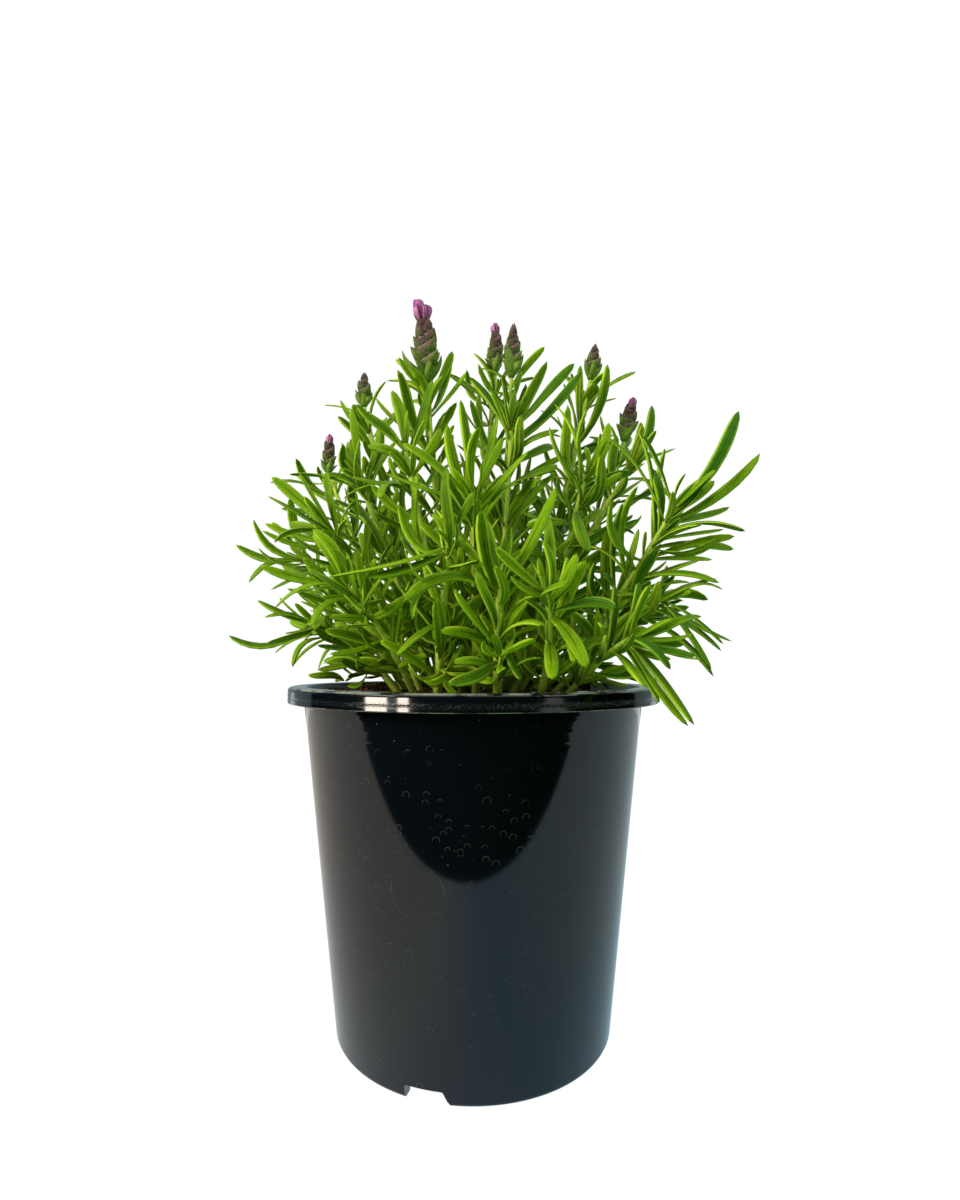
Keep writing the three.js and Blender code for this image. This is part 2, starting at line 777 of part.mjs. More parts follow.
function growSetLeaves(plant, crowd) {
  for (const [index, leafData] of plant.set.entries()) {
    const share = Math.min(leafData[0], TOP_SHARE - LEAF_DROP * index);
    const made = NUDGES.map((way) => setLeaf(plant.stem, share, leafData, vec(...way).multiplyScalar(NUDGE)));
    const leaf = made.find((candidate) => {
      const samples = candidate.samples();
      return !samples.some(({ point }) => isInPot(point)) && crowd.isClear(samples, plant.name);
    });
    if (!leaf) continue;
    crowd.add(leaf.samples(), plant.name);
    plant.leaves.push(leaf);
  }
}

// A flower spike on its stem: the axis that its bracts stand round.
class Spike {
  constructor(stem, lean, [length, radius, tiers, petals]) {
    this.axis = vec(lean[0], lean[1], length).normalize();
    this.foot = stem.tip.clone().addScaledVector(this.axis, 1.6 * FIT_GAP);
    this.length = length;
    this.radius = radius;
    this.tiers = tiers;
    this.petals = petals;
    this.first = square(vec(1, 0, 0), this.axis);
    this.second = this.axis.clone().cross(this.first);
  }

  out(turn) {
    return this.first
      .clone()
      .multiplyScalar(Math.cos(radians(turn)))
      .addScaledVector(this.second, Math.sin(radians(turn)));
  }

  at(height, radius, turn) {
    return this.foot.clone().addScaledVector(this.axis, height).addScaledVector(this.out(turn), radius);
  }

  core() {
    const turns = [0, 72, 144, 216, 288];
    const rings = SPIKE_CORE.map(([height, radius]) =>
      turns.map((turn) => this.at(height * this.length, radius * this.radius, turn)),
    );
    return solid(skin(rings));
  }

  // A pointed scale with a ridge down its back, rooted in the core.
  bract(height, turn) {
    const across = this.axis.clone().cross(this.out(turn));
    const tall = BRACT_LENGTH * this.length;
    const ring = (rise, radius, half) => {
      const centre = this.at(height + rise * tall, radius * this.radius, turn);
      return [
        centre.clone().addScaledVector(across, half * this.radius),
        centre.clone().addScaledVector(across, -half * this.radius),
        centre.clone().addScaledVector(this.out(turn), BRACT_THICKNESS),
      ];
    };
    const rings = BRACT_RINGS.map((values) => ring(...values));
    return solid(skin(rings, this.at(height + tall, BRACT_TIP * this.radius, turn)));
  }

  bracts() {
    const made = [];
    for (let tier = 0; tier < this.tiers; tier++) {
      const height = this.length * (TIER_START + (TIER_SPAN * tier) / (this.tiers - 1));
      for (let side = 0; side < 4; side++) made.push(this.bract(height, 90 * side + 45 * (tier % 2)));
    }
    return made;
  }

  // Petals that flare from a small collar on top of the core.
  tuft(draw) {
    const foot = this.length + FIT_GAP;
    const collar = COLLAR.map(([rise, radius]) =>
      [0, 90, 180, 270].map((turn) => this.at(foot + rise, radius, turn)),
    );
    const petals = PETAL_TURNS.map((turn) => {
      const long = this.petals * draw(0.75, 1);
      const root = this.at(foot + 0.6, 0.1, turn);
      const knee = this.at(foot + 0.6 * long, 0.22 * long, turn);
      const tip = this.at(foot + long, draw(0.25, 0.6) * long, turn);
      const side = this.axis.clone().cross(this.out(turn));
      return new Leaf(root, knee, tip, side, PETAL_WIDTH * this.petals).blade();
    });
    return join([solid(skin(collar)), ...petals]);
  }

  samples() {
    const found = [];
    const top = this.length + (this.petals || 1.5);
    for (let height = 0; height < top; height += 0.8 * CLEARANCE) {
      for (let turn = 0; turn < 360; turn += 60) {
        found.push({ point: this.at(height, 0.85 * this.radius, turn), share: 0 });
      }
    }
    return found;
  }
}

function backShoots() {
  return Array.from({ length: BACK_SHOOTS }, (_, index) => {
    const inner = index % 2;
    const angle = radians(BACK_FAN[0] + ((BACK_FAN[1] - BACK_FAN[0]) * index) / (BACK_SHOOTS - 1));
    const reach = BACK_REACH[inner];
    const height = BACK_HEIGHT[inner];
    const elbowHeight = SOIL_TOP + BACK_ELBOW * (height - SOIL_TOP);
    const toward = (radius, z) => [radius * Math.cos(angle), radius * Math.sin(angle), z];
    return {
      name: `shoot_back_${index + 1}`,
      route: [toward(BACK_FOOT[inner]), toward(BACK_ELBOW * reach, elbowHeight), toward(reach, height)],
      pairs: BACK_PAIRS,
      set: [],
    };
  });
}

function planted(data) {
  const [foot, elbow, tip] = data.route;
  const stem = new Stem(vec(foot[0], foot[1], SOIL_TOP), vec(...elbow), vec(...tip));
  return { ...data, stem, leaves: [], length: LEAF_LENGTH };
}

function stemSamples(stem) {
  const steps = 60;
  return Array.from({ length: steps + 1 }, (_, step) => ({ point: stem.at(step / steps), share: 0 }));
}

// A square stem, from its root in the soil to its tip. The hole that it stands in is the same, a gap wider.
function stemSolid(stem, gap = 0) {
  const rings = [];
  const squareRing = (centre, first, second, radius) =>
    [0, 1, 2, 3].map((side) => {
      const angle = (Math.PI / 2) * side;
      return centre
        .clone()
        .addScaledVector(first, radius * Math.cos(angle))
        .addScaledVector(second, radius * Math.sin(angle));
    });
  const root = stem.foot.clone().addScaledVector(stem.along(0), -ROOTED - gap);
  rings.push(squareRing(root, ...stem.across(0), STEM_FOOT_RADIUS + gap));
  for (let step = 1; step <= STEM_STEPS; step++) {
    const share = step / STEM_STEPS;
    const [first, second] = stem.across(share);
    rings.push(squareRing(stem.at(share), first, second, stem.radius(share) + gap));
  }
  return solid(skin(rings));
}

function makeShoot(plant) {
  const solids = [stemSolid(plant.stem), ...plant.leaves.map((leaf) => leaf.blade())];
  return named(plant.name, join(solids), "leaf");
}

const plants = [
  ...SHOOTS.map(planted),
  ...SPIKES.map((data) => planted({ ...data, name: `shoot_spike_${data.name}` })),
  ...backShoots().map(planted),
];
const crowd = new Crowd();
for (const plant of plants) {
  crowd.add(stemSamples(plant.stem), plant.name);
  if (plant.spike) plant.head = new Spike(plant.stem, plant.lean, plant.spike);
  if (plant.head) crowd.add(plant.head.samples(), plant.name);
}
for (const plant of plants) growSetLeaves(plant, crowd);
plants.forEach((plant, index) => growByRule(plant, crowd, seeded(index + 11)));

const lavender = new THREE.Group();
lavender.add(makePot(), makeSoil(plants.map((plant) => plant.stem)));
for (const plant of plants) lavender.add(makeShoot(plant));
for (const { name, head } of plants.filter((plant) => plant.head)) {
  const number = name.at(-1);
  lavender.add(named(`spike_${number}`, join([head.core(), ...head.bracts()]), "bract"));
  if (head.petals) lavender.add(named(`petals_${number}`, head.tuft(seeded(Number(number))), "petal"));
}

export default lavender;
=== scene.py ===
"""A young lavender in bud, in a black nursery pot filled with potting soil.

Metres, +Z up, in the frame of the CAD model. The nearest leaves face -Y. The plant grows in
millimetres, by the rule that its solids grew by, and is scaled when its meshes are made.
"""
import copy
import math

import bmesh
import bpy
import numpy as np
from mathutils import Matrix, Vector


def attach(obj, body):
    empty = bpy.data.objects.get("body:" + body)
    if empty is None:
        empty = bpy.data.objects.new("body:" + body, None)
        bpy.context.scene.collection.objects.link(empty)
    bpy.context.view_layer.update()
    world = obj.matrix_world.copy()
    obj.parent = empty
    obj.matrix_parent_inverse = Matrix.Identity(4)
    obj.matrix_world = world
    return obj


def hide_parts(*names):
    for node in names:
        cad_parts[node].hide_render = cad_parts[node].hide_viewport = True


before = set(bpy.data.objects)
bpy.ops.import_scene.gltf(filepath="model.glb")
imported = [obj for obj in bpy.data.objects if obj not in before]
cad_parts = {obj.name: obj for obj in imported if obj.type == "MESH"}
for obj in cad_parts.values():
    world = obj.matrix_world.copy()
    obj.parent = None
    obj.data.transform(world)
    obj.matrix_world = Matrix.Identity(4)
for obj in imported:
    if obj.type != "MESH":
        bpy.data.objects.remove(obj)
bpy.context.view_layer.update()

MM = 0.001

# The photograph's camera, in millimetres, degrees and pixels
CAMERA_BACK = 253.0
CAMERA_HEIGHT = 134.0
CAMERA_PITCH = 4.2
FRAME_SIZE = (960, 1200)
FOCAL_PIXELS = 640.0
OPTICAL_CENTRE = (473.0, 615.0)
SENSOR = 36.0

# The pot
POT_HEIGHT = 125.0
RIM_RADIUS = 70.0
FOOT_RADIUS = 50.5
NECK_RADIUS = 64.0
WALL = 1.2
SKIRT_DEPTH = 5.7
SKIRT_FOOT = POT_HEIGHT - SKIRT_DEPTH
WALL_SLOPE = (NECK_RADIUS - FOOT_RADIUS) / SKIRT_FOOT
SKIRT_WALL = 1.3
RIM_ROUND = 1.3
FOOT_ROUND = 1.8
COLLAR_FOOT = 109.0
COLLAR_STEP = 0.14
COLLAR_RIDGES = [109.6, 112.6, 117.4]
RIDGE_HEIGHT = 0.9
RIDGE_RISE = 0.009
RIM_SEAM = 121.3
RIM_SEAM_DEPTH = 0.03
SEAM_SLOPE = 0.35
SEAM_FLAT = 0.05
FLOOR_UNDERSIDE = 4.0
FLOOR_TOP = 5.4
FLOOR_ROUND = 1.5
BOSS_RADIUS = 9.0
FOOT_RING = 4.5
LID = 1.6
LIP_ROUND = 0.5
DRAIN_HOLES = 3
DRAIN_RADIUS = 4.0
DRAIN_CIRCLE = 36.0
DRAIN_SIDES = 24
DRAIN_REACH = (-1.0, 2 * FLOOR_TOP)
NOTCHES = 3
NOTCH_WIDTH = 15.0
NOTCH_HEIGHT = 4.6
NOTCH_SLANT = 2.2
NOTCH_ROUND = 0.9
FIRST_NOTCH = -106.0
POT_SIDES = 256

# The soil
SOIL_TOP = 120.6
SOIL_MOUND = 1.6
SOIL_HEAP = 2.6
HEAP_PLACE = (-32.0, 24.0)
HEAP_REACH = 30.0
SOIL_CRUMB = 1.4
SOIL_WAVES = [[0.31, 0.05, 1.3], [-0.09, 0.27, 0.4], [0.63, -0.51, 2.1]]
FINE_WAVES = [[1.9, 0.7, 0.2], [-1.1, 2.3, 1.9], [3.1, -2.7, 0.8], [0.9, 3.9, 2.6], [-4.3, 1.7, 1.1]]
FINE_CRUMB = 0.45
SOIL_RING_COUNT = 64
SOIL_SIDES = 180
SOIL_TONE = 0.5
FIT_GAP = 0.3

# The plant, as its solids have it
ROOTED = 10.0
STEM_FOOT_RADIUS = 1.5
STEM_TIP_RADIUS = 0.95
LEAF_LENGTH = 31.0
LEAF_SLENDERNESS = 6.8
LEAF_FOOT = 0.22
WIDEST = 0.66
BLUNTNESS = 2.4
FREE_SHARE = 0.3
LIGHT_TURN = 0.6
LIGHT = (-0.1, -0.8, 0.6)
OUTWARD = 0.5
CLEARANCE = 2.5
SAMPLE_STEP = 1.7
STEM_SAMPLES = 61
SHARE_STEPS = 200
POT_CLEARANCE = 1.4
TOP_SHARE = 0.97
LEAF_DROP = 0.015
LOWEST_PAIR = 0.12
TURN = (-14, 14)
OPENING = (26, 46)
BEND = (-14, 34)
LIFT = (-0.15, 0.3)
ROLL = (-30, 30)
GROWN = (0.78, 1.05)
MID_STEM_GAIN = 0.28
SWINGS = [0, 12, -12, 24, -24, 36, -36, 48, -48]
OPENINGS = [0, 9, -8]
LENGTHS = [1, 0.82, 0.66]
ALL_TRIES = [(part, wider, swing) for part in LENGTHS for wider in OPENINGS for swing in SWINGS]
FILL_TRIES = [(part, 0, swing) for part in (1, 0.7) for swing in SWINGS[:5]]
RULE_SEED = 11
NUDGE = 2.5
NUDGES = [[0, 0, 0], [0, 0, 1], [0, 0, -1], [0, -1, 0], [1, 0, 0], [-1, 0, 0], [0, 1, 0],
          [0, -1, 1], [0, -1, -1], [1, 0, 1], [-1, 0, 1], [1, 0, -1], [-1, 0, -1], [0, 0, 2], [0, 0, -2],
          [0, -2, 0], [2, 0, 0], [-2, 0, 0], [0, 2, 0], [0, -2, 2], [2, -2, 0], [-2, -2, 0]]
BRACT_TURN = 45
SPIKE_SEED = 17
SEAT_GAPS = 1.6

# Leafy stems that show from the front: the foot on the soil [x, y], the elbow and the tip, how many pairs
# of leaves grow by rule, and the leaves whose place is given, each by its share of the stem, its tip, its
# arch and its width
SHOOTS = [
    {"name": "shoot_front", "route": [[8, -44], [7, -59, 134], [8, -60, 156]], "pairs": 1, "set": [
        [1, [25, -66, 186], -2, 4.6], [1, [2, -70, 178], -1, 3.6], [0.97, [-21, -66, 152], 5, 3.6],
        [0.97, [-14, -50, 182], -1, 3.2], [0.95, [11, -46, 176], 0, 3], [0.6, [20, -75, 145], 2, 4.4],
        [0.45, [-7, -75, 126], 4, 5], [0.5, [-9, -65, 138], 1, 3], [0.95, [17, -58, 162], 1, 3],
    ]},
    {"name": "shoot_front_right", "route": [[21, -42], [25, -58, 136], [22, -64, 154]], "pairs": 1, "set": [
        [1, [10, -75, 157], 1, 3.4], [1, [23, -56, 180], -2, 3], [1, [29, -72, 165], -1, 3],
        [0.85, [41, -73, 149], 2, 3], [0.8, [31, -79, 132], 3, 4], [0.6, [22, -75, 129], 2, 4],
    ]},
    {"name": "shoot_front_left", "route": [[-12, -38], [-10, -54, 138], [-8, -55, 170]], "pairs": 2, "set": [
        [1, [-31, -64, 158], 2, 4.2], [1, [-24, -48, 184], -1, 3], [1, [-10, -61, 194], -2, 3.4],
        [0.8, [-19, -66, 147], 2, 3], [0.6, [-23, -62, 136], 1, 3], [0.9, [4, -66, 163], 1, 3],
    ]},
    {"name": "shoot_rim_right", "route": [[30, -36], [37, -54, 134], [47, -60, 141]], "pairs": 1, "set": [
        [0.75, [46, -77, 125.5], 5, 4.6], [1, [61, -73, 116], 3, 3.6], [0.95, [58, -66, 131], 2, 3],
        [1, [53, -63, 155], -1, 3], [0.7, [44, -57, 158], -1, 3],
    ]},
    {"name": "shoot_right_low", "route": [[27, -22], [43, -37, 140], [62, -40, 155]], "pairs": 2, "set": [
        [0.95, [82, -46, 139], 3, 3], [0.8, [77, -50, 130], 3, 3.2], [1, [79, -36, 153], 1, 3],
        [1, [81, -46, 160], 1, 3.4], [1, [69, -30, 168], -1, 3],
    ]},
    {"name": "shoot_right_outer", "route": [[22, -14], [44, -30, 142], [66, -45, 184]], "pairs": 3, "set": [
        [1, [85, -54, 215], 0, 4.2], [1, [93, -52, 199], -3, 3.6], [1, [87, -38, 185], 1, 3],
        [0.9, [84, -58, 174], 4, 4], [0.85, [90, -36, 173], 2, 3], [0.7, [79, -50, 161], 2, 3],
        [1, [56, -44, 212], 3, 3.6], [0.95, [68, -30, 210], 0, 3], [0.8, [42, -54, 185], -1, 3.4],
    ]},
    {"name": "shoot_right_mid", "route": [[14, -18], [30, -30, 156], [39, -34, 199]], "pairs": 3, "set": [
        [1, [46, -40, 216], -1, 3], [1, [25, -42, 213], -1, 3.4], [1, [56, -32, 200], 1, 3.2],
        [1, [35, -26, 226], -1, 3.2], [0.85, [36, -56, 169], 1, 3.6], [0.8, [18, -54, 177], -1, 4],
        [0.7, [51, -48, 163], 2, 3.2],
    ]},
    {"name": "shoot_right_high", "route": [[12, -4], [33, -8, 166], [59, -16, 206]], "pairs": 3, "set": [
        [1, [70, -12, 234], -1, 3.2], [1, [76, -22, 192], 3, 3.2], [0.9, [57, -6, 232], 0, 3.4],
    ]},
    {"name": "shoot_centre_right", "route": [[4, -14], [12, -24, 168], [14, -22, 219]], "pairs": 3, "set": [
        [1, [-1, -24, 240], -1, 3.6], [1, [28, -20, 245], -1, 3.8], [0.95, [38, -22, 244], -2, 4.2],
        [1, [22, -4, 243], 0, 3.6], [0.85, [4, -46, 199], 2, 3.4], [0.8, [29, -40, 200], 1, 3.4],
    ]},
    {"name": "shoot_centre_front", "route": [[1, -26], [1, -42, 155], [0, -46, 187]], "pairs": 3, "set": [
        [1, [-22, -54, 204], 1, 3.6], [1, [-9, -44, 213], -1, 3.6], [1, [8, -50, 214], -1, 3.4],
        [0.95, [17, -56, 201], -1, 3.6],
    ]},
    {"name": "shoot_centre_left", "route": [[-7, -18], [-15, -30, 167], [-24, -34, 210]], "pairs": 3, "set": [
        [1, [-44, -38, 226], 1, 4], [1, [-29, -30, 232], -1, 3.4], [0.95, [-13, -38, 237], -1, 4.4],
        [0.85, [-40, -46, 193], 2, 3.4], [0.8, [-30, -54, 188], 1, 3.4],
    ]},
    {"name": "shoot_left_high", "route": [[-13, -6], [-29, -14, 166], [-43, -18, 204]], "pairs": 3, "set": [
        [1, [-61, -14, 219], 1, 3.4], [1, [-54, -20, 225], 0, 3.2], [0.95, [-44, -30, 224], -1, 3.2],
        [0.9, [-62, -26, 206], 1, 3.2], [0.95, [-35, -12, 230], -1, 3.2],
    ]},
    {"name": "shoot_left_mid", "route": [[-18, -16], [-32, -28, 158], [-48, -36, 179]], "pairs": 3, "set": [
        [1, [-70, -34, 198], 2, 3.4], [0.95, [-67, -48, 187], 2, 4], [1, [-52, -40, 203], -1, 3.2],
        [0.9, [-72, -34, 181], 1, 3], [0.8, [-58, -50, 172], 1, 3.2],
    ]},
    {"name": "shoot_left_low", "route": [[-20, -26], [-29, -42, 146], [-42, -48, 160]], "pairs": 2, "set": [
        [1, [-68, -50, 164], 1, 3.2], [0.95, [-62, -56, 154], 2, 3.2], [1, [-50, -54, 176], 0, 3.2],
        [0.8, [-50, -60, 146], 1, 3.4], [0.78, [-30, -62, 150], 1, 3],
    ]},
    {"name": "shoot_left_outer", "route": [[-25, -5], [-42, -6, 153], [-67, -6, 175]], "pairs": 3, "set": [
        [1, [-92, -6, 178], 1, 3.6], [1, [-86, -8, 187], 1, 3.2], [0.92, [-86, -12, 166], 1, 3.4],
        [0.8, [-64, 10, 168], 1, 3.2],
    ]},
    {"name": "shoot_left_creep", "route": [[-27, -10], [-41, -10, 141], [-64, -6, 149]], "pairs": 2, "set": [
        [1, [-93, -8, 142], -1, 3.8], [1, [-83, -8, 157], 1, 3], [0.92, [-72, -22, 139], 2, 4],
        [0.8, [-54, -28, 150], 1, 3.4],
    ]},
]

# Stems that carry a flower spike: as in SHOOTS, with its lean, and its length, radius and length of petals
SPIKES = [
    {"name": "1", "route": [[-4, -6], [-14, -14, 173], [-17, -18, 239]], "pairs": 5,
     "lean": [-1.5, -2], "spike": [24, 4.7, 7.5], "set": [
         [0.9, [-29, -20, 249], 0, 3.6], [0.93, [-8, -24, 249], 0, 3.2], [0.8, [-26, -28, 240], -1, 3.8],
     ]},
    {"name": "2", "route": [[0, 4], [3, 4, 176], [9, 6, 253]], "pairs": 5,
     "lean": [0.6, 0], "spike": [18, 3.2, 5], "set": [[0.9, [2, 2, 262], 0, 3.2]]},
    {"name": "3", "route": [[7, -6], [11, -10, 174], [15, -9, 245]], "pairs": 5,
     "lean": [1, 0], "spike": [21, 3.5, 0], "set": []},
    {"name": "4", "route": [[11, 4], [33, 4, 176], [49, 6, 251]], "pairs": 5,
     "lean": [2, 0], "spike": [14, 3.6, 0], "set": [
         [0.8, [54, -10, 250], 0, 5.4], [0.8, [39, 6, 250], 0, 3.6],
     ]},
    {"name": "5", "route": [[17, 0], [46, 2, 170], [62, 4, 224]], "pairs": 4,
     "lean": [3, 0], "spike": [15, 3.7, 4.5], "set": [[0.85, [76, 8, 222], 1, 3.2]]},
    {"name": "6", "route": [[-10, 5], [-30, 8, 176], [-46, 10, 241]], "pairs": 5,
     "lean": [0, 0], "spike": [13.5, 3.5, 0], "set": [[0.85, [-56, 6, 236], 0, 3.4]]},
    {"name": "7", "route": [[-21, 3], [-45, 20, 172], [-65, 30, 218]], "pairs": 4,
     "lean": [0, 0], "spike": [15, 3.1, 4], "set": []},
]

# Leaves in the photograph that the solids leave out, on the stems that they grow from, as in SHOOTS
ADDED_LEAVES = {
    "shoot_right_outer": [
        [0.8, [84, -50, 174], 1.5, 3.5], [0.88, [81, -49, 176], 1, 2.2], [1.0, [54, -54, 206], 2.5, 2.5],
        [0.95, [41, -55, 207], 2.5, 2.5], [0.43, [40, -37, 169], 0, 3.7], [0.43, [51, -34, 157], 1, 3.1],
        [0.6, [29, -41, 168], 1, 2.6], [0.62, [50, -39, 188], 1, 3.4], [0.7, [55, -37, 194], 1, 3.6],
        [0.5, [49, -38, 174], 1, 3.2], [0.58, [59, -30, 181], 0, 3.2], [0.75, [45, -39, 182], 2, 3.0],
        [0.66, [74, -45, 166], 1, 3.4], [0.6, [73, -39, 161], 1, 3.0], [0.8, [80, -41, 168], 1, 2.8],
        [0.9, [60, -42, 199], 1, 3.6],
    ],
    "shoot_right_low": [
        [1.0, [85, -52, 172], 2, 2.2], [1.0, [79, -47, 161], 1, 1.9], [1.0, [79, -47, 157], 0.5, 3.2],
        [1.0, [80, -50, 139], 1, 1.9], [1.0, [76, -50, 132], 1.5, 2.8], [0.9, [82, -43, 138], 2, 3.0],
    ],
    "shoot_rim_right": [
        [0.88, [65, -66, 136], 1, 2.6], [0.93, [61, -70, 116], 1, 2.3], [0.9, [54, -66, 122], 1.5, 2.3],
        [1, [68, -60, 133], 2, 3.2], [0.9, [68, -55, 141], 1, 3.0],
    ],
    "shoot_left_creep": [
        [1.0, [-74, -11, 158], 0.5, 2.3],
    ],
    "shoot_left_mid": [
        [0.75, [-67, -43, 159], 2, 2.6], [0.88, [-70, -44, 176], 1, 2.9],
    ],
    "shoot_spike_7": [
        [0.73, [-81, 13, 199], 1, 4.2], [0.83, [-86, 14, 212], 1, 3.3], [0.9, [-68, 20, 233], 0.5, 2.8],
    ],
    "shoot_centre_left": [
        [1.0, [-40, -41, 221], 1, 3.6],
    ],
    "shoot_spike_1": [
        [0.93, [-27, -22, 236], 1, 2.9], [0.68, [-47, -27, 195], 1.5, 3.2], [0.9, [-2, -25, 240], 0, 2.9],
        [0.8, [-6, -14, 232], 1, 3.2],
    ],
    "shoot_centre_front": [
        [0.98, [-27, -56, 191], 3, 3.1], [1.0, [9, -54, 204], 0, 3.1], [1, [-4, -44, 222], 1, 3.4],
        [0.98, [2, -54, 209], 1, 3.2],
    ],
    "shoot_spike_2": [
        [0.45, [-17, -6, 192], 1, 5.0], [0.85, [-8, -4, 250], 0, 3.1],
    ],
    "shoot_front_left": [
        [1.0, [-42, -67, 157], 2, 3.5],
    ],
    "shoot_front_right": [
        [0.85, [29, -68, 133], 2.5, 3.5], [0.95, [21, -70, 169], 0, 2.6],
    ],
    "shoot_right_mid": [
        [0.38, [30, -32, 131], 2, 4.1], [1.0, [47, -40, 213], 1, 3.0], [0.9, [31, -29, 226], 1, 3.0],
    ],
    "shoot_front": [
        [0.62, [14, -62, 128], 1, 3.0],
    ],
    "shoot_centre_right": [
        [1.0, [36, -34, 239], 0.5, 4.1], [0.65, [29, -31, 202], 0, 3.1], [0.9, [32, -24, 218], 1, 3.2],
        [0.8, [33, -28, 207], 1, 3.2], [0.95, [27, -20, 224], 1, 3.0],
    ],
    "shoot_spike_4": [
        [0.9, [53, -1, 252], 0, 5.9], [0.6, [31, 7, 217], 1, 3.0], [0.66, [38, 3, 225], 1, 3.0],
    ],
    "shoot_spike_5": [
        [0.57, [65, -6, 190], 1, 3.5],
    ],
    "shoot_spike_3": [
        [0.78, [18, -17, 233], 0, 3.7], [0.72, [-1, -9, 236], 1, 3.0],
    ],
    "shoot_left_high": [
        [0.9, [-66, -27, 203], 0.5, 2.8], [0.9, [-46, -25, 215], 0, 2.9], [1, [-57, -18, 219], 0.5, 3.0],
    ],
    "shoot_left_low": [
        [0.47, [-46, -46, 136], 0.5, 2.6],
    ],
    "shoot_left_outer": [
        [0.5, [-65, -14, 156], 1, 3.4],
    ],
    "shoot_spike_6": [
        [0.8, [-56, 3, 241], 0.5, 2.8],
    ],
}
ADDED_CLEARANCE = 0.7
ADDED_NUDGE = 1.25
ADDED_NUDGES = NUDGES[:9]

# Stems on the far side stand on a fan: the values of an outer one, then those of an inner one
BACK_SHOOTS = 10
BACK_FAN = (8, 172)
BACK_FOOT = (22, 16)
BACK_REACH = (72, 46)
BACK_HEIGHT = (158, 206)
BACK_ELBOW = 0.55
BACK_PAIRS = 5

# The small leaves that the solids leave out: young ones in the axils and at the tips, pairs between the
# pairs, and short side sprigs
FILL_CLEARANCE = 1.5
AXIL_LENGTH = (10, 22)
AXIL_OPENING = (10, 34)
AXIL_TURN = (-40, 40)
AXIL_LEAVES = 2
TIP_LENGTH = (10, 24)
TIP_OPENING = (6, 30)
TIP_LEAVES = 5
BETWEEN_LENGTH = (15, 27)
BETWEEN_OPENING = (28, 58)
BETWEEN_STEP = 7.5
FILL_SEED = 211
FINISH_SEED = 422
SPRIG_SEED = 633
GOLDEN_TURN = 137.5
CLEARINGS = [((-64, -80, 118), (-18, -22, 130))]
SPRIGS = 6
LOWEST_SPRIG = 0.06
HIGHEST_SPRIG = 0.62
SPRIG_LENGTH = (8, 16)
SPRIG_OPENING = (35, 70)
SPRIG_LIFT = 0.2
SPRIG_WIDTH = 1.3
SPRIG_PAIRS = 3
SPRIG_CLEARANCE = 1.2
SPRIG_LEAF_LENGTH = (10, 18)
SPRIG_LEAF_OPENING = (30, 65)
SPRIG_SLENDERNESS = 5.0
BLADE_THICKNESS = 0.62
YOUNG_THICKNESS = 0.45
TWIST = (-1.0, 1.0)
SWAY = (-0.8, 0.8)
TALLEST_LEAF = 130.0
SPARED_SIZES = (1, 0.85, 0.7, 0.55)
SHOWN_FROM = 0.3
SHOWN_TO = 1.2
SHOWN_STEPS = 6
SHOWN_MARGIN = 0.6
LEAF_BROADENING = 1.18
BROAD_LEAF = 4.2
LEAST_TONE = 0.12
TONE_SPREAD = 0.6
TONE_RISE = 0.3
YOUNG_TONE = 0.12
# Painted shade on the leaves: how much their tone drops towards the right
SHADED_SIDE = 0.05
# Painted shade on the leaves: how much their colour darkens higher up
PAINTED_SHADE_ABOVE = 0.3
SCAR = (75.5, -55.2, 169.9)

# The look of the leaves and stems
LEAF_GLOW = 0.06
STEM_SWELLING = 0.3
STEM_SQUARENESS = 0.12

# The flower spikes. An outline is (share of the height, share of the width), and spikes without petals
# have the closed one.
SPIKE_OUTLINE = [(0, 0.5), (0.1, 0.82), (0.25, 1), (0.55, 0.9), (0.8, 0.7), (1, 0.42), (1.25, 0.1)]
CLOSED_OUTLINE = [
    (0, 0.45), (0.12, 0.85), (0.3, 1), (0.5, 0.9), (0.7, 0.66), (0.85, 0.42), (1, 0.2), (1.25, 0.05),
]
CLOSED_TOP = 0.35
SPIKE_SWELL = 1.08
SPIKE_SAMPLES_OUT = 0.85
SPIKE_SAMPLES_STEP = 0.8
BARE_TOP = 1.5
CORE_WIDTH = 0.74
CORE_HEIGHTS = [0, 0.06, 0.3, 0.6, 0.85, 0.98]
CORE_SIDES = 12
# Bracts: how they stand and how large they are, mostly as shares of their spike's height and width
BRACT_STEP = 2.6
BRACT_SWING = (-12, 12)
BRACT_HEIGHTS = (0.01, 0.72)
BRACT_LENGTHS = (0.9, 1.12)
BRACT_GAPE = (1.25, 1.65)
BRACT_TWIST = (-0.2, 0.2)
BRACT_THICKNESS = 0.5
BRACT_ROOT = 0.3
BRACT_ELBOW = (0.42, 1.15)
CLOSING_FROM = 0.4
BRACT_SHARE = 0.34
SHORTEST_BRACT = 5.6
BRACT_BREADTH = 1.9
# Leaf-like bracts at the foot of each spike: turn, rise, reach and width
FOOT_BRACTS = {
    "1": [(196, 12, 9, 4.6), (-18, 9.5, 6, 4.0), (290, 8, 4.6, 5.0)],
    "2": [(190, 9, 3.6, 4.4), (290, 8, 3.4, 4.8)],
    "3": [(238, 11.5, 4.2, 6.4), (-25, 9, 4.6, 4.8)],
    "4": [(205, 8, 4.0, 4.6), (-15, 7.5, 3.8, 4.4), (275, 7, 3.6, 5.0)],
    "5": [(210, 7, 4.0, 4.0), (300, 6.5, 3.6, 4.2)],
    "6": [(190, 6, 3.6, 3.8), (-10, 6, 3.6, 3.8)],
    "7": [(200, 6, 3.4, 3.8), (300, 6, 3.2, 4.0)],
}
FOOT_BRACT_TONE = -1.0
FOOT_BRACT_ROOT = 0.2
FOOT_BRACT_ELBOW = (0.4, 1.1)
